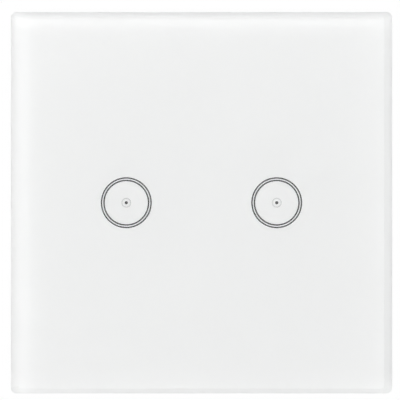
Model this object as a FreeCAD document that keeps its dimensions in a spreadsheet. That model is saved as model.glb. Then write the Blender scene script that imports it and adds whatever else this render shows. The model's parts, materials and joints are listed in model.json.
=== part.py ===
import FreeCAD, Part
import math
import operator
import os

import Sketcher

# Two-button smart touch switch for a square wall box.
# Frame: millimetres, +X right, +Z up, and the front looks along -Y.
# The wall is the plane Y = 0. A height is measured out of the wall, so it is -Y:
# the glass stands at positive heights and the housing in the wall box at negative ones.

# Driving sizes, in millimetres: name, value, what it measures.
SIZES = [
    ("screw_spacing", 60.3, "distance between the wall screws, from the wall box's standard"),
    ("slot_length", 7, "length of a wall screw's slot"),
    ("slot_width", 4.6, "width of a wall screw's slot"),
    ("slot_web", 1.35, "steel left between a slot and the housing's window"),
    ("strap_margin", 3.35, "how far the mounting frame reaches beyond the slots"),
    ("panel_margin", 6, "how far the glass reaches beyond the mounting frame"),
    ("panel_corner", 1.3, "corner radius of the glass outline"),
    ("projection", 11, "height of the glass face above the wall"),
    ("glass_thickness", 3, "thickness of the glass"),
    ("side_bevel", 1.8, "width of the bevel along the left and right edges"),
    ("end_bevel", 1.1, "width of the bevel along the top and bottom edges"),
    ("bevel_depth", 0.8, "how far the bevels drop below the face"),
    ("face_corner", 0.7, "corner radius of the flat face inside the bevels"),
    ("glass_arris", 0.3, "chamfer round the back of the glass"),
    ("backing_thickness", 0.25, "thickness of the white backing behind the glass"),
    ("backing_inset", 0.4, "distance of the backing inside the glass edge"),
    ("button_pitch", 34, "distance between the two touch keys"),
    ("ring_radius", 5.58, "radius of a key's outer line, to its middle"),
    ("ring_gap", 0.585, "distance between a key's two lines"),
    ("line_width", 0.25, "width of a ring's line"),
    ("guide_radius", 1.05, "radius of the light guide's tip"),
    ("guide_chamfer", 0.2, "chamfer round the light guide's tip"),
    ("dot_radius", 0.35, "radius of the dark dot in front of the lamp"),
    ("dot_thickness", 0.1, "thickness of the dot"),
    ("fit_gap", 0.05, "clearance between pieces that seat in each other"),
    ("frame_inset", 0.6, "distance of the front frame inside the glass edge"),
    ("frame_wall", 1.8, "thickness of the front frame's skirt"),
    ("frame_floor", 1.5, "thickness of the front frame's floor"),
    ("rim_gap", 0.3, "gap between the skirt and the wall"),
    ("rib_depth", 1.6, "how far the skirt's ribs stand inwards"),
    ("rib_thickness", 1, "thickness of the skirt's ribs"),
    ("rib_pitch", 12, "distance between the skirt's ribs"),
    ("notch_width", 12, "width of the notch that lifts the panel off"),
    ("notch_height", 1.5, "height of that notch above the rim"),
    ("boss_margin", 3, "distance of the touch board's bosses inside the board's sides"),
    ("boss_drop", 4, "distance of the touch board's bosses inside the board's ends"),
    ("boss_radius", 2.6, "radius of the touch board's bosses"),
    ("boss_height", 1.6, "height of the touch board's bosses"),
    ("well_radius", 5.6, "radius of a touch spring's well"),
    ("collar_wall", 0.9, "thickness of the collar round a well"),
    ("collar_gap", 0.4, "gap between a collar and the touch board"),
    ("board_side_margin", 3, "distance of the touch board inside the mounting frame's sides"),
    ("board_end_margin", 7, "distance of the touch board inside the mounting frame's ends"),
    ("board_corner", 2.5, "corner radius of the boards"),
    ("touch_board_thickness", 1.2, "thickness of the touch board"),
    ("head_room", 10, "width of the board's notches for the wall screws' heads"),
    ("small_screw_radius", 0.95, "radius of the touch board's screws"),
    ("small_head_radius", 1.9, "radius of those screws' heads"),
    ("small_head_height", 1.2, "height of those screws' heads"),
    ("small_screw_bite", 2.3, "depth of those screws in their bosses"),
    ("hole_gap", 0.15, "clearance round a screw in a hole it passes through"),
    ("spring_radius", 4.2, "radius of a touch spring's coil, to the wire's middle"),
    ("spring_wire", 0.5, "diameter of a touch spring's wire"),
    ("spring_pitch", 1.05, "rise of a touch spring in one turn"),
    ("lamp_wide", 2, "width of an indicator lamp"),
    ("lamp_tall", 1.25, "height of an indicator lamp"),
    ("lamp_deep", 0.8, "thickness of an indicator lamp"),
    ("guide_foot_radius", 2.2, "radius of a light guide's foot"),
    ("guide_foot_height", 1.4, "height of a light guide's foot"),
    ("lamp_gap", 0.2, "clearance between a lamp and its light guide"),
    ("chip_side", 5, "side of the touch controller"),
    ("chip_deep", 0.9, "thickness of the touch controller"),
    ("module_wide", 16, "width of the wireless module"),
    ("module_tall", 20, "height of the wireless module"),
    ("module_thickness", 0.8, "thickness of the wireless module's board"),
    ("module_z", 7.5, "upward place of the wireless module"),
    ("shield_wide", 13, "width of the module's shield"),
    ("shield_tall", 14, "height of the module's shield"),
    ("shield_deep", 2, "depth of the module's shield"),
    ("pin_pitch", 2.54, "distance between the header's pins"),
    ("pin_side", 0.64, "thickness of the header's square pins"),
    ("header_margin", 6.4, "distance of the header inside the housing's bottom wall"),
    ("header_width", 2.5, "width of the header and of its socket"),
    ("header_depth", 2.5, "depth of the header's moulding"),
    ("pin_room", 0.75, "distance of the pins' tips from the power board"),
    ("pin_stub", 0.6, "length of a soldered pin beyond its board"),
    ("pin_gap", 0.1, "clearance round a pin in its socket"),
    ("socket_gap", 0.2, "gap between the header and its socket"),
    ("strap_corner", 4, "corner radius of the mounting frame"),
    ("strap_thickness", 1.2, "thickness of the mounting frame"),
    ("lip_height", 4.2, "height of the mounting frame's folded lips"),
    ("lip_relief", 2, "distance of those lips from the frame's rounded corners"),
    ("catch_x", 22, "sideways place of the snap hooks"),
    ("catch_width", 9, "width of a hook's window in the lip"),
    ("catch_low", 1.8, "height of the window's lower edge"),
    ("catch_high", 3.4, "height of the window's upper edge"),
    ("hook_thickness", 1.3, "thickness of a snap hook's arm"),
    ("hook_bite", 0.7, "how far a hook's tooth enters its window"),
    ("hook_gap", 0.25, "clearance round a hook's tooth and arm"),
    ("box_tall", 54, "height of the housing in the wall box"),
    ("box_depth", 25, "depth of the housing behind the wall"),
    ("box_corner", 3, "corner radius of the housing"),
    ("box_wall", 1.6, "thickness of the housing's walls"),
    ("box_floor", 1.8, "thickness of the housing's rear wall"),
    ("box_gap", 0.3, "gap between the housing and the mounting frame's window"),
    ("box_arris", 0.8, "rounding of the housing's rear edge"),
    ("flange_side", 1, "how far the housing's flange reaches beyond its sides"),
    ("flange_end", 5, "how far the housing's flange reaches beyond its ends"),
    ("flange_thickness", 1.2, "thickness of the housing's flange"),
    ("recess_depth", 0.5, "depth of the recess round each driver hole"),
    ("recess_rib", 1, "width of the ribs between these recesses"),
    ("groove_depth", 0.5, "depth of the grip grooves in the housing's sides"),
    ("groove_length", 12, "length of a grip groove"),
    ("groove_width", 1.2, "width of a grip groove"),
    ("groove_pitch", 4, "distance between the grip grooves"),
    ("vent_length", 12, "length of a vent slot"),
    ("vent_width", 1.2, "width of a vent slot"),
    ("vent_pitch", 3, "distance between the vent slots"),
    ("lid_thickness", 1.5, "thickness of the housing's lid"),
    ("lid_gap", 0.2, "clearance round the lid and the power board"),
    ("post_inset", 3.8, "distance of the lid's screw posts inside the housing's outside"),
    ("post_radius", 2.6, "radius of the lid's screw posts"),
    ("tray_wide", 21, "width of the lid's tray for the wireless module"),
    ("tray_tall", 26, "height of the lid's tray"),
    ("tray_floor", 1.2, "thickness of the tray's floor and walls"),
    ("tray_depth", 2.6, "depth of the tray below the lid's face"),
    ("screw_radius", 1.2, "radius of the housing's screws"),
    ("screw_head_radius", 2.2, "radius of those screws' countersunk heads"),
    ("lid_screw_length", 6.4, "length of the lid's screws"),
    ("strap_screw_x", 12, "sideways place of the screws into the mounting frame"),
    ("strap_screw_inset", 2.7, "distance of those screws inside the flange's ends"),
    ("block_gap", 0.8, "gap between the terminal block and the housing's rear wall"),
    ("power_board_thickness", 1.6, "thickness of the power board"),
    ("ledge_depth", 0.9, "depth of the ledges that carry the power board"),
    ("ledge_thickness", 1.2, "thickness of those ledges"),
    ("ledge_z", 9, "upward place of those ledges"),
    ("part_gap", 0.8, "gap between neighbouring parts on the power board"),
    ("relay_wide", 10.2, "width of a relay"),
    ("relay_tall", 17.8, "length of a relay"),
    ("relay_deep", 12.5, "depth of a relay"),
    ("terminal_pitch", 9, "distance between the terminals"),
    ("terminal_wall", 1.2, "thickness of the terminal block's outer walls"),
    ("creepage", 1.5, "clearance between an open cage and the power board"),
    ("entry_wall", 1.4, "thickness of the terminal block's wall at the wires"),
    ("shoulder", 1, "thickness of the wall that holds the screws in"),
    ("cage_wide", 6.8, "width of a clamp cage"),
    ("cage_long", 6, "length of a clamp cage along the wire"),
    ("cage_side", 0.9, "thickness of a cage's sides"),
    ("cage_front", 1.2, "thickness of a cage's clamping wall"),
    ("cage_nut", 1.8, "thickness of a cage's threaded wall"),
    ("cage_gap", 0.3, "clearance round a cage in its chamber"),
    ("wire_gap", 4.4, "room for the wire in an open cage"),
    ("bar_thickness", 1, "thickness of the contact bar"),
    ("bar_wide", 4.4, "width of the contact bar"),
    ("bar_gap", 0.2, "clearance between the bar and the open cage"),
    ("clamp_screw_radius", 1.75, "radius of a clamp screw"),
    ("clamp_head_radius", 2.6, "radius of a clamp screw's head"),
    ("clamp_head_height", 1.8, "height of a clamp screw's head"),
    ("driver_slot", 0.8, "width and depth of the slot in a clamp screw"),
    ("head_gap", 0.3, "clearance round a clamp screw's head in the housing"),
    ("entry_side", 5.2, "side of a wire's entry in the housing"),
    ("core_wide", 13, "width of the transformer's core"),
    ("core_tall", 5, "thickness of the transformer's core"),
    ("core_deep", 11, "depth of the transformer's core"),
    ("core_limb", 1.9, "thickness of the core's outer limbs"),
    ("core_middle", 3.2, "width of the core's middle limb"),
    ("bobbin_base", 1.5, "thickness of the bobbin's base"),
    ("bobbin_tall", 10, "height of the bobbin"),
    ("large_can_radius", 5, "radius of the large capacitor"),
    ("large_can_length", 14, "length of the large capacitor"),
    ("small_can_radius", 4, "radius of the small capacitor"),
    ("small_can_length", 11, "length of the small capacitor"),
    ("disc_radius", 4.5, "radius of the varistor"),
    ("disc_thickness", 3.6, "thickness of the varistor"),
    ("lead_side", 0.6, "thickness of the radial leads"),
    ("lead_length", 1.5, "length of the radial leads up to the board"),
    ("lead_spread", 5, "distance between two radial leads"),
    ("fuse_wide", 8.4, "width of the fuse"),
    ("fuse_tall", 4, "thickness of the fuse"),
    ("fuse_deep", 7.6, "depth of the fuse"),
    ("film_wide", 11, "width of the film capacitor"),
    ("film_tall", 5, "thickness of the film capacitor"),
    ("film_deep", 10, "depth of the film capacitor"),
    ("rectifier_wide", 4.8, "width of the rectifier"),
    ("rectifier_tall", 4.6, "height of the rectifier"),
    ("rectifier_deep", 1.8, "depth of the rectifier"),
    ("peg_radius", 1.5, "radius of the lid's pegs on the power board"),
]

PIN_COUNT = 7
TERMINAL_COUNT = 4
STEPS_PER_TURN = 4
RIBS_EACH_WAY = 3
VENTS_EACH_WAY = 2
GROOVES_EACH_WAY = 2
SIDES = {"left": -1, "right": 1}

OPERATIONS = {
    "+": operator.add,
    "-": operator.sub,
    "*": operator.mul,
    "/": operator.truediv,
}

doc = FreeCAD.newDocument("TouchSwitch")
sheet = doc.addObject("Spreadsheet::Sheet", "Sizes")
for row, (name, value, note) in enumerate(SIZES, 1):
    sheet.set(f"A{row}", note)
    sheet.set(f"B{row}", str(value))
    sheet.setAlias(f"B{row}", name)
doc.recompute()
nodes = {}


class Size:
    """A length that carries its number and the spreadsheet expression behind it."""

    def __init__(self, value, text):
        self.value = value
        self.text = text

    def __add__(self, other):
        return joined(self, "+", other)

    def __radd__(self, other):
        return joined(other, "+", self)

    def __sub__(self, other):
        return joined(self, "-", other)

    def __rsub__(self, other):
        return joined(other, "-", self)

    def __mul__(self, other):
        return joined(self, "*", other)

    def __rmul__(self, other):
        return joined(other, "*", self)

    def __truediv__(self, other):
        return joined(self, "/", other)

    def __neg__(self):
        return joined(0, "-", self)


def size(value):
    """A plain number as a Size; a Size stays as it is."""
    return value if isinstance(value, Size) else Size(float(value), f"({float(value)})")


def joined(first, sign, second):
    """Two lengths joined by +, -, * or /, as a number and as an expression."""
    first, second = size(first), size(second)
    value = OPERATIONS[sign](first.value, second.value)
    return Size(value, f"({first.text} {sign} {second.text})")


def bind(thing, name, value):
    """Ties one property of an object to the spreadsheet."""
    thing.setExpression(name, size(value).text)


class Lengths:
    """The driving sizes by name, each read from the spreadsheet as a Size."""

    def __init__(self):
        for name, value, note in SIZES:
            setattr(self, name, Size(float(sheet.get(name)), "Sizes." + name))


S = Lengths()


def corners(x, z):
    """The four places at plus and minus x and z."""
    return [(i * x, k * z) for i in (-1, 1) for k in (-1, 1)]


class Drawing:
    """A sketch on one of a body's own planes, with every length bound to the spreadsheet.

    On the XZ plane it is seen from the front and stands at a height above the wall.
    On the XY plane it is seen from above, and on the YZ plane from the right.
    """

    def __init__(self, body, name, plane="XZ_Plane", height=0):
        self.sketch = body.newObject("Sketcher::SketchObject", name)
        origin = body.Origin.OriginFeatures
        support = [f for f in origin if f.Role == plane][0]
        self.sketch.AttachmentSupport = [(support, "")]
        self.sketch.MapMode = "FlatFace"
        bind(self.sketch, "AttachmentOffset.Base.z", height)
        self.dimensions = 0

    def hold(self, kind, where, value):
        """Adds one dimension and binds it."""
        value = size(value)
        self.dimensions += 1
        name = f"dimension{self.dimensions}"
        index = self.sketch.addConstraint(Sketcher.Constraint(kind, *where, value.value))
        self.sketch.renameConstraint(index, name)
        self.sketch.setExpression("Constraints." + name, value.text)

    def place(self, element, point, x, y):
        """Fixes a point of an element at x and y from the sketch's origin."""
        self.hold("DistanceX", (-1, 1, element, point), x)
        self.hold("DistanceY", (-1, 1, element, point), y)

    def circle(self, x, y, radius):
        x, y, radius = size(x), size(y), size(radius)
        centre = FreeCAD.Vector(x.value, y.value, 0)
        ring = Part.Circle(centre, FreeCAD.Vector(0, 0, 1), radius.value)
        index = self.sketch.addGeometry(ring, False)
        self.place(index, 3, x, y)
        self.hold("Radius", (index,), radius)

    def polygon(self, points):
        """A closed outline of straight lines through points of (x, y)."""
        points = [(size(x), size(y)) for x, y in points]
        vectors = [FreeCAD.Vector(x.value, y.value, 0) for x, y in points]
        lines = [Part.LineSegment(a, b) for a, b in zip(vectors, vectors[1:] + vectors[:1])]
        first = self.sketch.addGeometry(lines, False)[0]
        count = len(points)
        for i in range(count):
            after = first + (i + 1) % count
            self.sketch.addConstraint(Sketcher.Constraint("Coincident", first + i, 2, after, 1))
        for i, (x, y) in enumerate(points):
            self.place(first + i, 1, x, y)

    def box(self, x, y, wide, tall):
        """A plain rectangle round a centre."""
        left, low = x - size(wide) / 2, y - size(tall) / 2
        right, high = x + size(wide) / 2, y + size(tall) / 2
        self.polygon([(left, low), (right, low), (right, high), (left, high)])

    def rounded(self, x, y, wide, tall, radius):
        """A rectangle round a centre, with its corners as tangent arcs."""
        x, y, wide, tall, radius = (size(v) for v in (x, y, wide, tall, radius))
        half_x, half_y, r = wide.value / 2, tall.value / 2, radius.value
        turns = [(1, -1, -90), (1, 1, 0), (-1, 1, 90), (-1, -1, 180)]
        pieces = []
        for i, k, start in turns:
            centre = FreeCAD.Vector(x.value + i * (half_x - r), y.value + k * (half_y - r), 0)
            whole = Part.Circle(centre, FreeCAD.Vector(0, 0, 1), r)
            a, b = math.radians(start), math.radians(start + 90)
            pieces.append(Part.ArcOfCircle(whole, a, b))
        arcs = list(pieces)
        for before, after in zip(arcs, arcs[1:] + arcs[:1]):
            pieces.append(Part.LineSegment(before.EndPoint, after.StartPoint))
        first = self.sketch.addGeometry(pieces, False)[0]
        arc, line = range(first, first + 4), range(first + 4, first + 8)
        rules = []
        for i in range(4):
            rules.append(Sketcher.Constraint("Tangent", arc[i], 2, line[i], 1))
            rules.append(Sketcher.Constraint("Tangent", line[i], 2, arc[(i + 1) % 4], 1))
        rules.append(Sketcher.Constraint("Vertical", line[0]))
        rules.append(Sketcher.Constraint("Horizontal", line[1]))
        rules.append(Sketcher.Constraint("Vertical", line[2]))
        rules.append(Sketcher.Constraint("Horizontal", line[3]))
        for i in range(1, 4):
            rules.append(Sketcher.Constraint("Equal", arc[0], arc[i]))
        self.sketch.addConstraint(rules)
        self.hold("Radius", (arc[0],), radius)
        self.hold("DistanceX", (-1, 1, line[2], 1), x - wide / 2)
        self.hold("DistanceX", (-1, 1, line[0], 1), x + wide / 2)
        self.hold("DistanceY", (-1, 1, line[3], 1), y - tall / 2)
        self.hold("DistanceY", (-1, 1, line[1], 1), y + tall / 2)

    def slot(self, x, y, length, width):
        """A level slot with round ends, round a centre."""
        x, y, length, width = (size(v) for v in (x, y, length, width))
        r = width.value / 2
        reach = (length.value - width.value) / 2
        up, at = FreeCAD.Vector(0, 0, 1), FreeCAD.Vector(x.value, y.value, 0)
        right = Part.Circle(at + FreeCAD.Vector(reach, 0, 0), up, r)
        left = Part.Circle(at - FreeCAD.Vector(reach, 0, 0), up, r)
        quarter = math.pi / 2
        arcs = [
            Part.ArcOfCircle(right, -quarter, quarter),
            Part.ArcOfCircle(left, quarter, 3 * quarter),
        ]
        top = Part.LineSegment(arcs[0].EndPoint, arcs[1].StartPoint)
        bottom = Part.LineSegment(arcs[1].EndPoint, arcs[0].StartPoint)
        first = self.sketch.addGeometry([*arcs, top, bottom], False)[0]
        a, b, c, d = range(first, first + 4)
        self.sketch.addConstraint(
            [
                Sketcher.Constraint("Tangent", a, 2, c, 1),
                Sketcher.Constraint("Tangent", c, 2, b, 1),
                Sketcher.Constraint("Tangent", b, 2, d, 1),
                Sketcher.Constraint("Tangent", d, 2, a, 1),
                Sketcher.Constraint("Horizontal", c),
                Sketcher.Constraint("Equal", a, b),
            ]
        )
        self.hold("Radius", (a,), width / 2)
        self.place(a, 3, x + (length - width) / 2, y)
        self.hold("DistanceX", (-1, 1, b, 3), x - (length - width) / 2)


def new_body(label):
    """A body that becomes one node, named by its label."""
    body = doc.addObject("PartDesign::Body", label)
    body.Label = label
    body.AllowCompound = True
    nodes[label] = body
    return body


def volume(body):
    """The volume of a body so far."""
    shape = body.Shape
    return 0.0 if shape.isNull() else shape.Volume


def add(body, name, low, high, draw, plane="XZ_Plane"):
    """Pads what draw puts in a sketch, from one height to another."""
    drawing = Drawing(body, name + "_sketch", plane, low)
    draw(drawing)
    feature = body.newObject("PartDesign::Pad", name)
    feature.Profile = drawing.sketch
    bind(feature, "Length", high - size(low))
    doc.recompute()
    return feature


def cut(body, name, low, high, draw, plane="XZ_Plane"):
    """Pockets what draw puts in a sketch, from one height to another."""
    before = volume(body)
    drawing = Drawing(body, name + "_sketch", plane, high)
    draw(drawing)
    feature = body.newObject("PartDesign::Pocket", name)
    feature.Profile = drawing.sketch
    bind(feature, "Length", high - size(low))
    doc.recompute()
    if not volume(body) < before:
        raise RuntimeError(f"{body.Label}: {name} cuts nothing")
    return feature


def turned(body, name, points):
    """Turns an outline of (radius, height) points about the body's Y axis."""
    drawing = Drawing(body, name + "_sketch", "XY_Plane")
    drawing.polygon([(radius, -size(height)) for radius, height in points])
    feature = body.newObject("PartDesign::Revolution", name)
    feature.Profile = drawing.sketch
    feature.ReferenceAxis = (drawing.sketch, ["V_Axis"])
    feature.Angle = 360
    doc.recompute()
    return feature


def edge_names(body, test):
    """Names of the edges whose two ends and middle all pass a test."""
    names = []
    for number, edge in enumerate(body.Shape.Edges, 1):
        middle = edge.valueAt((edge.FirstParameter + edge.LastParameter) / 2)
        ends = [vertex.Point for vertex in edge.Vertexes]
        if all(test(point) for point in [*ends, middle]):
            names.append(f"Edge{number}")
    return names


def at_height(height, margin=1e-4):
    """A test for points that lie at one height above the wall."""
    level = -size(height).value
    return lambda point: abs(point.y - level) < margin


def along_bend(height, far):
    """A test for points at one height and at a distance above or below the middle."""
    level, distance = -size(height).value, far.value
    return lambda point: abs(point.y - level) < 1e-4 and abs(abs(point.z) - distance) < 1e-4


def dress(body, kind, name, amount, test):
    """Adds a Fillet or a Chamfer to the edges that pass a test."""
    base = body.Tip
    names = edge_names(body, test)
    if not names:
        raise RuntimeError(f"{body.Label}: {name} finds no edges")
    feature = body.newObject("PartDesign::" + kind, name)
    feature.Base = (base, names)
    bind(feature, "Radius" if kind == "Fillet" else "Size", amount)
    doc.recompute()
    return feature


def move(thing, x=0, height=0, z=0):
    """Binds an object's place: sideways, out of the wall, and up."""
    bind(thing, "Placement.Base.x", x)
    bind(thing, "Placement.Base.y", -size(height))
    bind(thing, "Placement.Base.z", z)


def group(label, members):
    """Joins separate solids, such as equal screws, in one node."""
    compound = doc.addObject("Part::Compound", label)
    compound.Label = label
    compound.Links = members
    for member in members:
        nodes.pop(member.Label, None)
    nodes[label] = compound
    doc.recompute()
    return compound


def block(name, x, z, low, wide, tall, deep):
    """A Part box round (x, z), from a height upwards."""
    box = doc.addObject("Part::Box", name)
    bind(box, "Length", wide)
    bind(box, "Width", deep)
    bind(box, "Height", tall)
    move(box, x - size(wide) / 2, low + size(deep), z - size(tall) / 2)
    return box


def rod(name, x, z, low, radius, length):
    """A Part cylinder at (x, z) that stands out of the wall, from a height upwards."""
    cylinder = doc.addObject("Part::Cylinder", name)
    outwards = FreeCAD.Rotation(FreeCAD.Vector(1, 0, 0), 90)
    cylinder.Placement = FreeCAD.Placement(FreeCAD.Vector(), outwards)
    bind(cylinder, "Radius", radius)
    bind(cylinder, "Height", length)
    move(cylinder, x, low, z)
    return cylinder


def fused(label, members):
    """Fuses Part solids into one node."""
    whole = doc.addObject("Part::MultiFuse", label)
    whole.Label = label
    whole.Shapes = members
    nodes[label] = whole
    doc.recompute()
    return whole


# Outlines, from the wall screws outwards and inwards
STRAP_SIDE = S.screw_spacing + S.slot_length + 2 * S.strap_margin
PANEL_SIDE = STRAP_SIDE + 2 * S.panel_margin
FRAME_SIDE = PANEL_SIDE - 2 * S.frame_inset
SKIRT_INNER = FRAME_SIDE - 2 * S.frame_wall
LIP_OUTER = STRAP_SIDE / 2
LIP_INNER = LIP_OUTER - S.strap_thickness
LIP_LENGTH = STRAP_SIDE - 2 * S.strap_corner - 2 * S.lip_relief
BOARD_WIDE = STRAP_SIDE - 2 * S.board_side_margin
BOARD_TALL = STRAP_SIDE - 2 * S.board_end_margin
BOSS_X = BOARD_WIDE / 2 - S.boss_margin
BOSS_Z = BOARD_TALL / 2 - S.boss_drop
BUTTON_X = S.button_pitch / 2
BOX_WIDE = S.screw_spacing - S.slot_length - 2 * S.slot_web - 2 * S.box_gap
BOX_INNER_WIDE = BOX_WIDE - 2 * S.box_wall
BOX_INNER_TALL = S.box_tall - 2 * S.box_wall
FLANGE_WIDE = BOX_WIDE + 2 * S.flange_side
FLANGE_TALL = S.box_tall + 2 * S.flange_end
LID_WIDE = BOX_INNER_WIDE - 2 * S.lid_gap
LID_TALL = BOX_INNER_TALL - 2 * S.lid_gap
LID_CORNER = S.box_corner - S.box_wall - S.lid_gap
HEADER_Z = S.header_margin - BOX_INNER_TALL / 2
HEADER_LENGTH = PIN_COUNT * S.pin_pitch

# Heights above the wall of the front panel and the flange
GLASS_BACK = S.projection - S.glass_thickness
FRAME_FRONT = GLASS_BACK - S.backing_thickness
FLOOR_BACK = FRAME_FRONT - S.frame_floor
BOARD_FRONT = FLOOR_BACK - S.boss_height
BOARD_BACK = BOARD_FRONT - S.touch_board_thickness
FLANGE_FRONT = S.strap_thickness + S.flange_thickness
HEAD_DEPTH = S.flange_thickness - S.hole_gap
LID_BACK = FLANGE_FRONT - S.lid_thickness
TRAY_FLOOR = FLANGE_FRONT - S.tray_depth
HEADER_BACK = BOARD_BACK - S.header_depth
SOCKET_FRONT = HEADER_BACK - S.socket_gap

# Heights behind the wall: the clamps stand on the rear wall and carry the power board's height
BOX_BACK = -S.box_depth
FLOOR_FRONT = BOX_BACK + S.box_floor
SHOULDER_BACK = FLOOR_FRONT + S.block_gap
HEAD_FRONT = SHOULDER_BACK - S.hole_gap
CHAMBER_BACK = SHOULDER_BACK + S.shoulder
CAGE_TRAVEL = S.wire_gap - S.bar_gap
CAGE_BACK = CHAMBER_BACK + S.cage_gap + CAGE_TRAVEL
NUT_FRONT = CAGE_BACK + S.cage_nut
BAR_BACK = NUT_FRONT + S.bar_gap
BAR_FRONT = BAR_BACK + S.bar_thickness
WIRE_HIGH = BAR_FRONT + S.wire_gap
WIRE_MIDDLE = (WIRE_HIGH + BAR_FRONT) / 2
CAGE_TOP = WIRE_HIGH + S.cage_front
POWER_BACK = CAGE_TOP + S.creepage
POWER_FRONT = POWER_BACK + S.power_board_thickness

# Places of the terminals
ENTRY_FACE = S.fit_gap - BOX_INNER_TALL / 2
CHAMBER_LOW = ENTRY_FACE + S.entry_wall
CHAMBER_HIGH = CHAMBER_LOW + S.cage_long + 2 * S.cage_gap
CHAMBER_WIDE = S.cage_wide + 2 * S.cage_gap
TERMINAL_TOP = CHAMBER_HIGH + S.terminal_wall
CAGE_Z = (CHAMBER_LOW + CHAMBER_HIGH) / 2
CAGE_INNER = S.cage_wide - 2 * S.cage_side
TERMINAL_X = [
    (i - (TERMINAL_COUNT - 1) / 2) * S.terminal_pitch for i in range(TERMINAL_COUNT)
]
PIN_X = [(i - (PIN_COUNT - 1) / 2) * S.pin_pitch for i in range(PIN_COUNT)]

# Places on the power board: three columns, and two rows above the terminals
COLUMNS_WIDE = 2 * S.relay_wide + S.film_wide + 2 * S.part_gap
RELAY_X = {
    "left": (S.relay_wide - COLUMNS_WIDE) / 2,
    "right": (S.relay_wide - COLUMNS_WIDE) / 2 + S.relay_wide + S.part_gap,
}
RIGHT_COLUMN_X = (COLUMNS_WIDE - S.film_wide) / 2
ROW_LOW = TERMINAL_TOP + S.fit_gap + S.bar_thickness + S.part_gap
ROW_HIGH = ROW_LOW + S.relay_tall + S.part_gap
TRANSFORMER_X = (S.core_wide - COLUMNS_WIDE) / 2
LARGE_CAN_X = TRANSFORMER_X + S.core_wide / 2 + S.part_gap + S.large_can_radius
SMALL_CAN_X = LARGE_CAN_X + S.large_can_radius + S.part_gap + S.small_can_radius

# Places of the screws into the posts and into the mounting frame
POST_X = BOX_WIDE / 2 - S.post_inset
POST_HIGH = S.box_tall / 2 - S.post_inset
POST_LOW = ROW_LOW + S.post_radius
POSTS = [(sign * POST_X, z) for sign in (-1, 1) for z in (POST_LOW, POST_HIGH)]
STRAP_SCREWS = corners(S.strap_screw_x, FLANGE_TALL / 2 - S.strap_screw_inset)


# Front panel

def make_glass():
    """Clear glass with rounded corners, wide side bevels and narrow end bevels."""
    body = new_body("glass_panel")
    bevel_low = S.projection - S.bevel_depth
    side = PANEL_SIDE
    add(
        body, "slab", GLASS_BACK, bevel_low,
        lambda d: d.rounded(0, 0, side, side, S.panel_corner),
    )
    outer = Drawing(body, "bevel_outer", height=bevel_low)
    outer.rounded(0, 0, side, side, S.panel_corner)
    face = Drawing(body, "face", height=S.projection)
    face.rounded(0, 0, side - 2 * S.side_bevel, side - 2 * S.end_bevel, S.face_corner)
    bevel = body.newObject("PartDesign::AdditiveLoft", "bevel")
    bevel.Profile = outer.sketch
    bevel.Sections = [face.sketch]
    bevel.Ruled = True
    doc.recompute()
    dress(body, "Chamfer", "back_arris", S.glass_arris, at_height(GLASS_BACK))


def make_backing():
    """White backing sheet, open where the rings and the lamps show."""
    body = new_body("white_backing")
    wide = PANEL_SIDE - 2 * S.backing_inset
    outer = S.ring_radius + S.line_width / 2
    inner = S.ring_radius - S.ring_gap - S.line_width / 2

    def draw(d):
        d.rounded(0, 0, wide, wide, S.panel_corner)
        for sign in SIDES.values():
            d.circle(sign * BUTTON_X, 0, outer)
            d.circle(sign * BUTTON_X, 0, inner)
            d.circle(sign * BUTTON_X, 0, S.guide_radius + S.fit_gap)

    add(body, "sheet", FRAME_FRONT, GLASS_BACK, draw)


def make_rings():
    """Two fine metal lines round each key, with a light band between them."""
    half = S.line_width / 2
    inner_line = S.ring_radius - S.ring_gap
    for side, sign in SIDES.items():
        x = sign * BUTTON_X
        lines = new_body("touch_ring_" + side)

        def draw_lines(d):
            for middle in (S.ring_radius, inner_line):
                d.circle(x, 0, middle + half)
                d.circle(x, 0, middle - half)

        add(lines, "lines", FRAME_FRONT, GLASS_BACK, draw_lines)
        band = new_body("light_ring_" + side)

        def draw_band(d):
            d.circle(x, 0, S.ring_radius - half)
            d.circle(x, 0, inner_line + half)

        add(band, "band", FRAME_FRONT, GLASS_BACK, draw_band)


def make_dots():
    """The dark dot that each lamp shines past, on the back of the glass."""
    low = GLASS_BACK - S.dot_thickness
    dots = [
        rod("dot_" + side, sign * BUTTON_X, 0, low, S.dot_radius, S.dot_thickness)
        for side, sign in SIDES.items()
    ]
    group("indicator_dots", dots)


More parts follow.
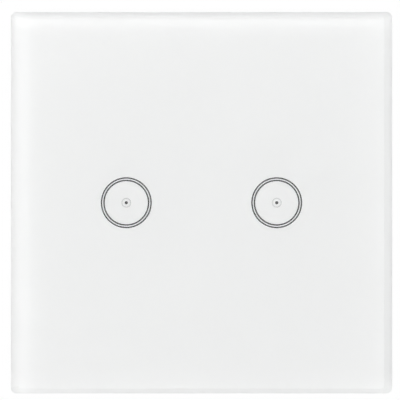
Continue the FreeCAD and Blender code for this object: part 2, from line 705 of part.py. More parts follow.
def make_front_frame():
    """The moulded frame that carries the glass, with its skirt, bosses, wells and ribs."""
    body = new_body("front_frame")
    side, corner = FRAME_SIDE, S.panel_corner
    add(body, "block", S.rim_gap, FRAME_FRONT, lambda d: d.rounded(0, 0, side, side, corner))
    cut(
        body, "cavity", S.rim_gap, FLOOR_BACK,
        lambda d: d.rounded(0, 0, SKIRT_INNER, SKIRT_INNER, S.panel_corner),
    )
    dress(body, "Fillet", "rim_rounding", S.frame_wall / 4, at_height(S.rim_gap))

    def draw_bosses(d):
        for x, z in corners(BOSS_X, BOSS_Z):
            d.circle(x, z, S.boss_radius)

    add(body, "bosses", BOARD_FRONT, FLOOR_BACK, draw_bosses)

    def draw_collars(d):
        for sign in SIDES.values():
            d.circle(sign * BUTTON_X, 0, S.well_radius + S.collar_wall)

    add(body, "collars", BOARD_FRONT + S.collar_gap, FLOOR_BACK, draw_collars)

    def draw_wells(d):
        for sign in SIDES.values():
            d.circle(sign * BUTTON_X, 0, S.well_radius)

    cut(body, "wells", BOARD_FRONT, FRAME_FRONT, draw_wells)

    def draw_pilots(d):
        for x, z in corners(BOSS_X, BOSS_Z):
            d.circle(x, z, S.small_screw_radius + S.fit_gap)

    depth = S.small_screw_bite + S.hole_gap
    cut(body, "pilots", BOARD_FRONT, BOARD_FRONT + depth, draw_pilots)
    rib_low = BOARD_BACK
    reach = SKIRT_INNER / 2

    def draw_ribs(d):
        for i in range(-RIBS_EACH_WAY, RIBS_EACH_WAY + 1):
            along = i * S.rib_pitch
            for sign in SIDES.values():
                middle = sign * (reach - S.rib_depth / 2)
                d.box(middle, along, S.rib_depth, S.rib_thickness)

    add(body, "ribs", rib_low, FLOOR_BACK, draw_ribs)
    notch_z = -(side - S.frame_wall) / 2
    cut(
        body, "notch", S.rim_gap, S.rim_gap + S.notch_height,
        lambda d: d.box(0, notch_z, S.notch_width, S.frame_wall + 2 * S.fit_gap),
    )


def make_snap_hooks():
    """Four sprung hooks that reach down from the frame and catch in the steel lips."""
    hooks = []
    inner = LIP_OUTER + S.hook_gap
    outer = inner + S.hook_thickness
    tooth = LIP_OUTER - S.hook_bite
    low = S.catch_low + S.hook_gap
    high = S.catch_high - S.hook_gap
    width = S.catch_width - 4 * S.hook_gap
    for up in (1, -1):
        for sign in SIDES.values():
            body = new_body(f"hook_{len(hooks)}")
            outline = [
                (inner, FLOOR_BACK),
                (outer, FLOOR_BACK),
                (outer, low),
                (inner, low),
                (tooth, (low + high) / 2),
                (tooth, high),
                (inner, high),
            ]
            points = [(-height, up * z) for z, height in outline]
            x = sign * S.catch_x
            add(
                body, "hook", x - width / 2, x + width / 2,
                lambda d: d.polygon(points), plane="YZ_Plane",
            )
            hooks.append(body)
    group("snap_hooks", hooks)


def make_touch_board():
    """The touch board, with holes for its screws and for the header's pins."""
    body = new_body("touch_board")

    def draw(d):
        d.rounded(0, 0, BOARD_WIDE, BOARD_TALL, S.board_corner)
        for x, z in corners(BOSS_X, BOSS_Z):
            d.circle(x, z, S.small_screw_radius + S.hole_gap)
        for x in PIN_X:
            d.circle(x, HEADER_Z, S.pin_side)

    add(body, "board", BOARD_BACK, BOARD_FRONT, draw)
    edge = BOARD_WIDE / 2
    depth = edge - S.screw_spacing / 2 + S.head_room / 2

    def draw_notches(d):
        for sign in SIDES.values():
            middle = sign * (edge - depth / 2 + S.fit_gap)
            d.box(middle, 0, depth + 2 * S.fit_gap, S.head_room)

    cut(body, "head_notches", BOARD_BACK, BOARD_FRONT, draw_notches)


def make_touch_board_screws():
    """Pan-head screws that hold the touch board on its bosses, from behind."""
    screws = []
    for x, z in corners(BOSS_X, BOSS_Z):
        body = new_body(f"board_screw_{len(screws)}")
        r, head = S.small_screw_radius, S.small_head_radius
        top = BOARD_FRONT + S.small_screw_bite
        face = BOARD_BACK - S.small_head_height
        turned(
            body, "screw",
            [
                (0, top), (r / 2, top), (r, top - r), (r, BOARD_BACK),
                (head, BOARD_BACK), (head, face + head / 4), (head * 0.8, face), (0, face),
            ],
        )
        slot = r / 2
        cut(
            body, "driver_slot", face, face + slot,
            lambda d: d.box(0, 0, 1.4 * head, slot),
        )
        move(body, x, 0, z)
        screws.append(body)
    group("touch_board_screws", screws)


def coil_point(radius, low, rise, angle):
    """Where a coil round the Y axis is at an angle, and the way that it runs there."""
    turn = rise / (2 * math.pi)
    place = FreeCAD.Vector(
        radius * math.cos(angle), -(low + turn * angle), radius * math.sin(angle)
    )
    way = FreeCAD.Vector(-radius * math.sin(angle), -turn, radius * math.cos(angle))
    return place, way.normalize()


def tangent_arc(start, corner, end):
    """The arc from start to end whose end tangents meet at the corner."""
    middle = (start + end) / 2
    to_corner = corner - middle
    half = math.atan2(to_corner.Length, (end - start).Length / 2)
    sagitta = (end - start).Length / 2 * math.tan(half / 2)
    return Part.Arc(start, middle + to_corner.normalize() * sagitta, end).toShape()


def biarc(start, start_way, end, end_way):
    """Two tangent arcs that join two points and run the given ways there."""
    chord = end - start
    ways = start_way + end_way
    spread = 2 * (1 - start_way.dot(end_way))
    along = chord.dot(ways)
    reach = (math.sqrt(along**2 + spread * chord.dot(chord)) - along) / spread
    first, second = start + start_way * reach, end - end_way * reach
    joint = (first + second) / 2
    return [tangent_arc(start, first, joint), tangent_arc(joint, second, end)]


def bent_wire(arc, radius):
    """A round wire of a radius along one arc."""
    first, last = arc.ParameterRange
    circle = Part.makeCircle(radius, arc.valueAt(first), arc.tangentAt(first))
    section = Part.Face(Part.Wire(circle))
    return section.revolve(arc.Curve.Center, arc.Curve.Axis, math.degrees(last - first))


def make_touch_springs():
    """Coil springs that carry the touch signal from the board to the back of the glass."""
    margin = S.spring_wire / 2 + S.fit_gap
    low, high = BOARD_FRONT + margin, FRAME_FRONT - margin
    radius, rise = S.spring_radius.value, S.spring_pitch.value
    turns = (high - low).value / rise
    count = math.ceil(turns * STEPS_PER_TURN)
    angles = [2 * math.pi * turns * i / count for i in range(count + 1)]
    stations = [coil_point(radius, low.value, rise, angle) for angle in angles]
    pieces = []
    for (start, start_way), (end, end_way) in zip(stations, stations[1:]):
        for arc in biarc(start, start_way, end, end_way):
            pieces.append(bent_wire(arc, S.spring_wire.value / 2))
    coil = pieces[0].multiFuse(pieces[1:])
    for side, sign in SIDES.items():
        label = "touch_spring_" + side
        spring = doc.addObject("Part::Feature", label)
        spring.Label = label
        spring.Shape = coil
        move(spring, sign * BUTTON_X)
        nodes[label] = spring
    doc.recompute()


def make_light_guides():
    """Clear guides that stand over the lamps and reach the back of the glass."""
    for side, sign in SIDES.items():
        body = new_body("light_guide_" + side)
        foot_top = BOARD_FRONT + S.guide_foot_height
        tip = GLASS_BACK - S.dot_thickness
        turned(
            body, "guide",
            [
                (0, BOARD_FRONT), (S.guide_foot_radius, BOARD_FRONT),
                (S.guide_foot_radius, foot_top), (S.guide_radius, foot_top + S.lamp_gap),
                (S.guide_radius, tip - S.guide_chamfer), (S.guide_radius - S.guide_chamfer, tip),
                (0, tip),
            ],
        )
        wide, tall = S.lamp_wide + 2 * S.lamp_gap, S.lamp_tall + 2 * S.lamp_gap
        cut(
            body, "lamp_pocket", BOARD_FRONT, BOARD_FRONT + S.lamp_deep + S.lamp_gap,
            lambda d: d.box(0, 0, wide, tall),
        )
        move(body, sign * BUTTON_X)


def make_touch_electronics():
    """Lamps, touch controller, small parts and the wireless module on the touch board."""
    lamp = (S.lamp_wide, S.lamp_tall, S.lamp_deep)
    lamps = [
        block("lamp_" + side, sign * BUTTON_X, 0, BOARD_FRONT, *lamp)
        for side, sign in SIDES.items()
    ]
    group("indicator_lamps", lamps)
    chip = new_body("touch_controller")
    top = BOARD_FRONT + S.chip_deep
    add(chip, "case", BOARD_FRONT, top, lambda d: d.box(0, 0, S.chip_side, S.chip_side))
    dress(chip, "Chamfer", "case_edge", S.chip_deep / 6, at_height(top))
    small = []
    chip_part = (S.lamp_wide * 0.8, S.lamp_tall * 0.6, S.lamp_deep / 2)
    for k in (1, -1):
        for i in (-1, 0, 1):
            name = f"small_part_{len(small)}"
            x, z = i * S.chip_side * 0.6, k * S.chip_side
            small.append(block(name, x, z, BOARD_FRONT, *chip_part))
    group("board_small_parts", small)
    module = new_body("wireless_module")
    back = BOARD_BACK - S.module_thickness
    add(
        module, "board", back, BOARD_BACK,
        lambda d: d.box(0, S.module_z, S.module_wide, S.module_tall),
    )
    shield = new_body("module_shield")
    shield_z = S.module_z - (S.module_tall - S.shield_tall) / 2 + S.module_thickness
    add(
        shield, "can", back - S.shield_deep, back,
        lambda d: d.rounded(0, shield_z, S.shield_wide, S.shield_tall, S.module_thickness),
    )
    dress(
        shield, "Fillet", "can_edge", S.module_thickness / 2,
        at_height(back - S.shield_deep),
    )


def make_header():
    """The pin header behind the touch board."""
    strip = (HEADER_LENGTH, S.header_width, S.header_depth)
    parts = [block("header_strip", 0, HEADER_Z, HEADER_BACK, *strip)]
    low = POWER_FRONT + S.pin_room
    length = BOARD_FRONT + S.pin_stub - low
    for i, x in enumerate(PIN_X):
        parts.append(block(f"pin_{i}", x, HEADER_Z, low, S.pin_side, S.pin_side, length))
    fused("pin_header", parts)


# Base that stays on the wall

def make_mounting_frame():
    """Pressed steel frame with a window for the housing, slots and folded lips."""
    body = new_body("mounting_frame")
    thick = S.strap_thickness

    def draw_plate(d):
        d.rounded(0, 0, STRAP_SIDE, STRAP_SIDE, S.strap_corner)
        d.rounded(
            0, 0, BOX_WIDE + 2 * S.box_gap, S.box_tall + 2 * S.box_gap, S.box_corner + S.box_gap,
        )
        for sign in SIDES.values():
            d.slot(sign * S.screw_spacing / 2, 0, S.slot_length, S.slot_width)
        for x, z in STRAP_SCREWS:
            d.circle(x, z, S.screw_radius + S.fit_gap)

    add(body, "plate", 0, S.strap_thickness, draw_plate)

    def draw_lips(d):
        for sign in (-1, 1):
            d.box(0, sign * (LIP_OUTER - thick / 2), LIP_LENGTH, thick)

    add(body, "lips", thick, S.lip_height, draw_lips)

    def draw_windows(d):
        middle = -(S.catch_low + S.catch_high) / 2
        for sign in SIDES.values():
            d.box(sign * S.catch_x, middle, S.catch_width, S.catch_high - S.catch_low)

    cut(body, "catch_windows", -LIP_OUTER, LIP_OUTER, draw_windows, plane="XY_Plane")
    dress(body, "Fillet", "bend_inside", thick / 4, along_bend(thick, LIP_INNER))
    dress(body, "Fillet", "bend_outside", thick * 0.75, along_bend(0, LIP_OUTER))


def make_housing():
    """The housing in the wall box, with its flange, posts, ledges, entries, grips and vents."""
    body = new_body("rear_housing")
    add(
        body, "box", BOX_BACK, S.strap_thickness,
        lambda d: d.rounded(0, 0, BOX_WIDE, S.box_tall, S.box_corner),
    )
    dress(body, "Fillet", "rear_edge", S.box_arris, at_height(BOX_BACK))
    add(
        body, "flange", S.strap_thickness, FLANGE_FRONT,
        lambda d: d.rounded(0, 0, FLANGE_WIDE, FLANGE_TALL, S.box_corner),
    )
    inner_corner = S.box_corner - S.box_wall
    cut(
        body, "cavity", FLOOR_FRONT, FLANGE_FRONT,
        lambda d: d.rounded(0, 0, BOX_INNER_WIDE, BOX_INNER_TALL, inner_corner),
    )

    def draw_posts(d):
        for x, z in POSTS:
            d.circle(x, z, S.post_radius)

    add(body, "posts", FLOOR_FRONT, LID_BACK, draw_posts)

    def draw_pilots(d):
        for x, z in POSTS:
            d.circle(x, z, S.screw_radius + S.fit_gap)

    hole_low = FLANGE_FRONT - S.lid_screw_length - S.hole_gap
    cut(body, "post_holes", hole_low, LID_BACK, draw_pilots)

    def draw_ledges(d):
        for x, z in corners((BOX_INNER_WIDE - S.ledge_depth) / 2, S.ledge_z):
            d.box(x, z, S.ledge_depth, S.ledge_thickness)

    add(body, "ledges", FLOOR_FRONT, POWER_BACK, draw_ledges)

    def draw_countersinks(d):
        for x, z in STRAP_SCREWS:
            d.circle(x, z, S.screw_radius + S.hole_gap)

    cut(body, "flange_holes", S.strap_thickness, FLANGE_FRONT, draw_countersinks)
    sink(body, STRAP_SCREWS)

    def draw_access(d):
        for x in TERMINAL_X:
            d.circle(x, CAGE_Z, S.clamp_head_radius + S.head_gap)

    cut(body, "driver_access", BOX_BACK, FLOOR_FRONT, draw_access)
    side = S.terminal_pitch - S.recess_rib

    def draw_recesses(d):
        for x in TERMINAL_X:
            d.rounded(x, CAGE_Z, side, side, S.recess_rib)

    cut(body, "driver_recesses", BOX_BACK, BOX_BACK + S.recess_depth, draw_recesses)

    def draw_grooves(d):
        for i in range(-GROOVES_EACH_WAY, GROOVES_EACH_WAY + 1):
            d.box(-FLOOR_FRONT / 2, i * S.groove_pitch, S.groove_length, S.groove_width)

    for name, sign in SIDES.items():
        outer, inner = sign * BOX_WIDE / 2, sign * (BOX_WIDE / 2 - S.groove_depth)
        low, high = (outer, inner) if sign < 0 else (inner, outer)
        cut(body, "grooves_" + name, low, high, draw_grooves, plane="YZ_Plane")

    def draw_entries(d):
        for x in TERMINAL_X:
            d.box(x, -WIRE_MIDDLE, S.entry_side, S.entry_side)

    cut(
        body, "wire_entries", -S.box_tall / 2, -BOX_INNER_TALL / 2, draw_entries,
        plane="XY_Plane",
    )

    def draw_vents(d):
        for i in range(-VENTS_EACH_WAY, VENTS_EACH_WAY + 1):
            d.slot(0, -FLOOR_FRONT / 2 + i * S.vent_pitch, S.vent_length, S.vent_width)

    cut(body, "vents", BOX_INNER_TALL / 2, S.box_tall / 2, draw_vents, plane="XY_Plane")


def sink(body, places):
    """Countersinks the holes at these places, for heads flush with the flange's front."""
    top = FLANGE_FRONT
    seat = top - HEAD_DEPTH
    for number, (x, z) in enumerate(places):
        drawing = Drawing(body, f"countersink_{number}_sketch", "XY_Plane", z)
        r = S.screw_radius + S.hole_gap
        head = S.screw_head_radius + S.hole_gap
        drawing.polygon([(x, -top), (x + head, -top), (x + r, -seat), (x, -seat)])
        groove = body.newObject("PartDesign::Groove", f"countersink_{number}")
        groove.Profile = drawing.sketch
        groove.ReferenceAxis = (drawing.sketch, ["Edge4"])
        groove.Angle = 360
        doc.recompute()


def make_strap_screws():
    """Countersunk screws that hold the housing's flange in the mounting frame."""
    countersunk("frame_screws", STRAP_SCREWS, FLANGE_FRONT)


def make_lid_screws():
    """Countersunk screws that hold the lid on the housing's posts."""
    countersunk("lid_screws", POSTS, S.lid_screw_length)


def countersunk(label, places, length):
    """A group of screws with heads flush with the flange's front."""
    screws = []
    r, head, top = S.screw_radius, S.screw_head_radius, FLANGE_FRONT
    tip = top - length
    for x, z in places:
        body = new_body(f"{label}_{len(screws)}")
        outline = [
            (0, top), (head, top), (r, top - HEAD_DEPTH), (r, tip + r / 2), (r / 2, tip), (0, tip),
        ]
        turned(body, "screw", outline)
        for i, (wide, tall) in enumerate([(1.3, 0.3), (0.3, 1.3)]):
            cut(
                body, f"cross_{i}", top - HEAD_DEPTH * 0.7, top,
                lambda d: d.box(0, 0, head * wide, head * tall),
            )
        move(body, x, 0, z)
        screws.append(body)
    group(label, screws)


def make_lid():
    """The lid of the housing, with a tray for the wireless module and pegs on the power board."""
    body = new_body("housing_lid")
    places = POSTS

    def draw_plate(d):
        d.rounded(0, 0, LID_WIDE, LID_TALL, LID_CORNER)
        for x, z in places:
            d.circle(x, z, S.screw_radius + S.hole_gap)

    add(body, "plate", LID_BACK, FLANGE_FRONT, draw_plate)
    add(
        body, "tray", TRAY_FLOOR - S.tray_floor, LID_BACK,
        lambda d: d.box(0, S.module_z, S.tray_wide, S.tray_tall),
    )
    wide, tall = S.tray_wide - 2 * S.tray_floor, S.tray_tall - 2 * S.tray_floor
    cut(
        body, "tray_recess", TRAY_FLOOR, FLANGE_FRONT,
        lambda d: d.box(0, S.module_z, wide, tall),
    )
    wide, tall = HEADER_LENGTH + 2 * S.box_gap, S.header_width + 2 * S.box_gap
    cut(
        body, "header_opening", LID_BACK, FLANGE_FRONT,
        lambda d: d.box(0, HEADER_Z, wide, tall),
    )

    def draw_pegs(d):
        for x, z in corners(S.tray_wide * 0.8, S.ledge_z):
            d.circle(x, z, S.peg_radius)

    add(body, "pegs", POWER_FRONT + S.fit_gap, LID_BACK, draw_pegs)
    sink(body, places)


def make_power_board():
    """The power board, with its edges cut away round the housing's posts."""
    body = new_body("power_board")
    add(
        body, "board", POWER_BACK, POWER_FRONT,
        lambda d: d.rounded(0, 0, LID_WIDE, LID_TALL, LID_CORNER),
    )
    reach = S.post_radius + S.lid_gap
    wide = LID_WIDE / 2 - POST_X + reach + S.lid_gap
    middle = POST_X - reach + wide / 2

    def draw_side_notches(d):
        for sign in SIDES.values():
            d.box(sign * middle, POST_LOW, wide, 2 * reach)

    cut(body, "side_notches", POWER_BACK, POWER_FRONT, draw_side_notches)
    tall = LID_TALL / 2 - POST_HIGH + reach + S.lid_gap

    def draw_corner_notches(d):
        for sign in SIDES.values():
            d.box(sign * middle, POST_HIGH - reach + tall / 2, wide, tall)

    cut(body, "corner_notches", POWER_BACK, POWER_FRONT, draw_corner_notches)


def make_relays():
    """Two relays on the rear of the power board."""
    low = POWER_BACK - S.relay_deep
    z = ROW_LOW + S.relay_tall / 2
    for side, x in RELAY_X.items():
        body = new_body("relay_" + side)
        add(body, "case", low, POWER_BACK, lambda d: d.box(x, z, S.relay_wide, S.relay_tall))
        dress(body, "Chamfer", "case_edge", S.relay_deep / 30, at_height(low))


def make_transformer():
    """A small transformer: a ferrite core round a wound bobbin."""
    x, z = TRANSFORMER_X, ROW_HIGH + S.bobbin_tall / 2
    front = POWER_BACK - S.bobbin_base
    back = front - S.core_deep
    window_front, window_back = front - S.core_limb, back + S.core_limb
    window = S.core_wide / 2 - S.core_limb - S.core_middle / 2
    gap = S.lid_gap
    core = new_body("transformer_core")
    half = S.core_tall / 2

    def draw_core(d):
        d.box(x, -(front + back) / 2, S.core_wide, S.core_deep)
        for sign in SIDES.values():
            middle = x + sign * (S.core_middle + window) / 2
            d.box(middle, -(window_front + window_back) / 2, window, window_front - window_back)

    add(core, "limbs", z - half, z + half, draw_core, plane="XY_Plane")
    bobbin = new_body("transformer_bobbin")
    wide = S.core_middle + 2 * (window - gap)

    def draw_winding(d):
        d.rounded(x, z, wide, S.bobbin_tall, S.core_middle / 2)
        d.box(x, z, S.core_middle + 2 * gap, S.core_tall + 2 * gap)

    add(bobbin, "winding", window_back + gap, window_front - gap, draw_winding)
    foot = (S.bobbin_tall - S.core_tall) / 2 - gap

    def draw_feet(d):
        for sign in (-1, 1):
            middle = z + sign * (S.bobbin_tall - foot) / 2
            d.box(x, middle, wide - S.core_middle, foot)

    add(bobbin, "feet", window_front - gap, front, draw_feet)
    add(
        bobbin, "base", front, POWER_BACK,
        lambda d: d.box(x, z, S.core_wide, S.bobbin_tall),
    )


def can(label, x, z, radius, length):
    """An electrolytic capacitor with its crimp, standing on the rear of the power board."""
    body = new_body(label)
    end = POWER_BACK - length
    groove = radius / 8
    turned(
        body, "can",
        [
            (0, POWER_BACK), (radius, POWER_BACK),
            (radius, POWER_BACK - 2 * groove), (radius - groove, POWER_BACK - 3 * groove),
            (radius, POWER_BACK - 4 * groove), (radius, end + groove),
            (radius - groove, end), (0, end),
        ],
    )
    move(body, x, 0, z)


def make_capacitors():
    """Two electrolytic capacitors and a film capacitor."""
    large, small = S.large_can_radius, S.small_can_radius
    z = ROW_HIGH + large
    can("capacitor_large", LARGE_CAN_X, z, large, S.large_can_length)
    can("capacitor_small", SMALL_CAN_X, z, small, S.small_can_length)
    body = new_body("film_capacitor")
    low = POWER_BACK - S.film_deep
    z = ROW_LOW + S.film_tall / 2
    add(
        body, "case", low, POWER_BACK,
        lambda d: d.box(RIGHT_COLUMN_X, z, S.film_wide, S.film_tall),
    )
    dress(body, "Chamfer", "case_edge", S.film_deep / 20, at_height(low))


def make_protection():
    """The varistor, the fuse and the rectifier."""
    x = RIGHT_COLUMN_X
    top = POWER_BACK - S.lead_length
    disc = new_body("varistor")
    fuse_z = ROW_LOW + S.film_tall + S.part_gap + S.fuse_tall / 2
    at_z = fuse_z + S.fuse_tall / 2 + S.part_gap + S.disc_thickness / 2
    middle = top - S.disc_radius
    half = S.disc_thickness / 2
    add(
        disc, "disc", at_z - half, at_z + half,
        lambda d: d.circle(x, -middle, S.disc_radius), plane="XY_Plane",
    )

    def leads(z, spread):
        def draw(d):
            for sign in SIDES.values():
                d.box(x + sign * spread / 2, z, S.lead_side, S.lead_side)

        return draw

    add(disc, "leads", middle, POWER_BACK, leads(at_z, S.lead_spread))
    fuse = new_body("fuse")
    low = top - S.fuse_deep
    add(fuse, "case", low, top, lambda d: d.box(x, fuse_z, S.fuse_wide, S.fuse_tall))
    dress(fuse, "Fillet", "case_edge", S.fuse_tall / 5, at_height(low))
    add(fuse, "leads", top, POWER_BACK, leads(fuse_z, S.lead_spread))
    body = new_body("rectifier")
    low = POWER_BACK - S.rectifier_deep
    high_z = ROW_HIGH + S.bobbin_tall + S.part_gap + S.rectifier_tall / 2
    add(
        body, "case", low, POWER_BACK,
        lambda d: d.box(LARGE_CAN_X, high_z, S.rectifier_wide, S.rectifier_tall),
    )
    dress(body, "Chamfer", "case_edge", S.rectifier_deep / 6, at_height(low))


def make_socket():
    """The socket that the header's pins slide into."""
    body = new_body("board_socket")
    length = HEADER_LENGTH

    def draw(d):
        d.box(0, HEADER_Z, length, S.header_width)
        for x in PIN_X:
            side = S.pin_side + 2 * S.pin_gap
            d.box(x, HEADER_Z, side, side)

    add(body, "moulding", POWER_FRONT, SOCKET_FRONT, draw)


def make_terminal_block():
    """The moulded block whose chambers guide the clamp cages."""
    body = new_body("terminal_block")
    wide = (TERMINAL_COUNT - 1) * S.terminal_pitch + CHAMBER_WIDE + 2 * S.terminal_wall
    tall = TERMINAL_TOP - ENTRY_FACE
    middle = (TERMINAL_TOP + ENTRY_FACE) / 2
    add(
        body, "block", SHOULDER_BACK, POWER_BACK,
        lambda d: d.box(0, middle, wide, tall),
    )

    def draw_chambers(d):
        for x in TERMINAL_X:
            d.box(x, CAGE_Z, CHAMBER_WIDE, CHAMBER_HIGH - CHAMBER_LOW)

    cut(body, "chambers", CHAMBER_BACK, POWER_BACK, draw_chambers)

    def draw_screw_holes(d):
        for x in TERMINAL_X:
            d.circle(x, CAGE_Z, S.clamp_screw_radius + S.fit_gap)

    cut(body, "screw_holes", SHOULDER_BACK, CHAMBER_BACK, draw_screw_holes)

    def draw_entries(d):
        for x in TERMINAL_X:
            d.box(x, -WIRE_MIDDLE, S.entry_side, S.entry_side)

    cut(body, "entries", ENTRY_FACE, CHAMBER_LOW, draw_entries, plane="XY_Plane")

    def draw_bar_slots(d):
        for x in TERMINAL_X:
            wide, tall = S.bar_wide + 2 * S.fit_gap, S.bar_thickness + 2 * S.fit_gap
            d.box(x, -(BAR_FRONT + BAR_BACK) / 2, wide, tall)

    cut(body, "bar_slots", CHAMBER_HIGH, TERMINAL_TOP, draw_bar_slots, plane="XY_Plane")


def make_contacts():
    """Four bent contact bars, from the clamps to the power board."""
    bars = []
    low = CHAMBER_LOW + S.cage_gap
    outer = TERMINAL_TOP + S.fit_gap
    thick = S.bar_thickness
    for x in TERMINAL_X:
        body = new_body(f"contact_{len(bars)}")
        outline = [
            (low, BAR_FRONT), (outer, BAR_FRONT), (outer, POWER_BACK),
            (outer + thick, POWER_BACK), (outer + thick, BAR_BACK), (low, BAR_BACK),
        ]
        points = [(-height, z) for z, height in outline]
        half = S.bar_wide / 2
        add(body, "bar", x - half, x + half, lambda d: d.polygon(points), plane="YZ_Plane")
        bars.append(body)
    group("terminal_contacts", bars)


def make_cages():
    """Clamp cages that the screws draw towards the rear, against the contact bars."""
    for number, x in enumerate(TERMINAL_X, 1):
        body = new_body(f"terminal_cage_{number}")
        deep = CAGE_TOP - CAGE_BACK
        middle = (CAGE_TOP + CAGE_BACK) / 2
        half = S.cage_long / 2
        window = WIRE_HIGH - NUT_FRONT

        def draw(d):
            d.rounded(0, -middle, S.cage_wide, deep, S.cage_side / 2)
            d.box(0, -(WIRE_HIGH + NUT_FRONT) / 2, CAGE_INNER, window)

        add(body, "cage", -half, half, draw, plane="XY_Plane")
        cut(
            body, "thread", CAGE_BACK, NUT_FRONT,
            lambda d: d.circle(0, 0, S.clamp_screw_radius + S.fit_gap),
        )
        move(body, x, 0, CAGE_Z)


def make_clamp_screws():
    """Slotted screws that turn in the housing's access holes and work the cages."""
    tip = NUT_FRONT - S.bar_gap
    r, head = S.clamp_screw_radius, S.clamp_head_radius
    back = HEAD_FRONT - S.clamp_head_height
    slot = S.driver_slot
    for number, x in enumerate(TERMINAL_X, 1):
        body = new_body(f"terminal_screw_{number}")
        turned(
            body, "screw",
            [
                (0, tip), (r * 0.8, tip), (r, tip - r / 4), (r, HEAD_FRONT),
                (head, HEAD_FRONT), (head, back + slot / 4), (head - slot / 4, back), (0, back),
            ],
        )
        cut(
            body, "driver_slot", back, back + slot * 1.2,
            lambda d: d.box(0, 0, 2 * head + slot, slot),
        )
        cut(
            body, "cross_slot", back, back + slot * 1.2,
            lambda d: d.box(0, 0, slot, head * 1.1),
        )
        move(body, x, 0, CAGE_Z)


def check():
    """Stops the build if any feature failed or any node is not sound."""
    for thing in doc.Objects:
        bad = [state for state in thing.State if state in ("Invalid", "Error")]
        if bad or "Invalid" in thing.getStatusString():
            raise RuntimeError(f"{thing.Label} failed: {thing.State}")
    for name, thing in nodes.items():
        shape = thing.Shape
        if shape.isNull() or not shape.isValid() or not shape.Solids:
            raise RuntimeError(f"{name} has no sound solid")


def export():
    """Writes each node to its own STEP file."""
    os.makedirs("parts", exist_ok=True)
    for name, thing in nodes.items():
        thing.Shape.exportStep(f"parts/{name}.step")
    print(len(nodes), "nodes written")


MAKERS = [
    make_glass,
    make_backing,
    make_rings,
    make_dots,
    make_front_frame,
    make_snap_hooks,
    make_touch_board,
    make_touch_board_screws,
    make_touch_springs,
    make_light_guides,
    make_touch_electronics,
    make_header,
    make_mounting_frame,
    make_housing,
    make_strap_screws,
    make_lid,
    make_lid_screws,
    make_power_board,
    make_relays,
    make_transformer,
    make_capacitors,
    make_protection,
    make_socket,
    make_terminal_block,
    make_contacts,
    make_cages,
    make_clamp_screws,
]

for make in MAKERS:
    make()
doc.recompute()
check()
export()
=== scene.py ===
import json
import math

import bmesh
import bpy
from mathutils import Matrix, Vector


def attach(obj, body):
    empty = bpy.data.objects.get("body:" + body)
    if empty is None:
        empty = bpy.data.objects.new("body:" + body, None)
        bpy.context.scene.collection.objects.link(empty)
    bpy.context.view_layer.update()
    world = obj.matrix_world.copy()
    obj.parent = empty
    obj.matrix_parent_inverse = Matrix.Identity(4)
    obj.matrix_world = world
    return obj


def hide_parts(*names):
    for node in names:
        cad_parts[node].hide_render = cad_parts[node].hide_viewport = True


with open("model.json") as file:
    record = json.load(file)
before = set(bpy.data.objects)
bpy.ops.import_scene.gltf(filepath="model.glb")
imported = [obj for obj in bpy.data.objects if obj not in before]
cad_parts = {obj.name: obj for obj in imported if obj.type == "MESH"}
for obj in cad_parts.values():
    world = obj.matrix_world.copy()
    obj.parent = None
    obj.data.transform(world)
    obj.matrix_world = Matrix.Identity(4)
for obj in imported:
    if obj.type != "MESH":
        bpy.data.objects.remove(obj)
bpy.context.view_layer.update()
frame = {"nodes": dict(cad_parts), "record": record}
NODES = frame["nodes"]
scene = bpy.context.scene

# The wall is the plane y = 0, +X is right, +Z is up, and the front looks along -Y.
# Places and sizes are in millimetres, and a height is the distance out of the wall,
# so that a height of 8 lies at y = -8. MM turns them into Blender's metres.
MM = 0.001

SIDE = 86.0  # side of the glass
FACE = 11.0  # height of the glass's face
GROUND_EDGE = 10.2  # below this height the edge of the glass is finely ground
PRINT_FRONT = 8.0  # height of the print's front
KEY_X = 17.0  # sideways place of a key
TOUCH_BACK = 3.45  # height of the touch board's rear
POWER_BACK = -6.8  # height of the power board's rear
PART_ROW_Z = 9.3  # upward place of the capacitors and the transformer


# Materials

# The places of a Mix node's sockets for colours
COLOUR_A, COLOUR_B, COLOUR_OUT = 6, 7, 2
EVEN = (1, 1, 1)


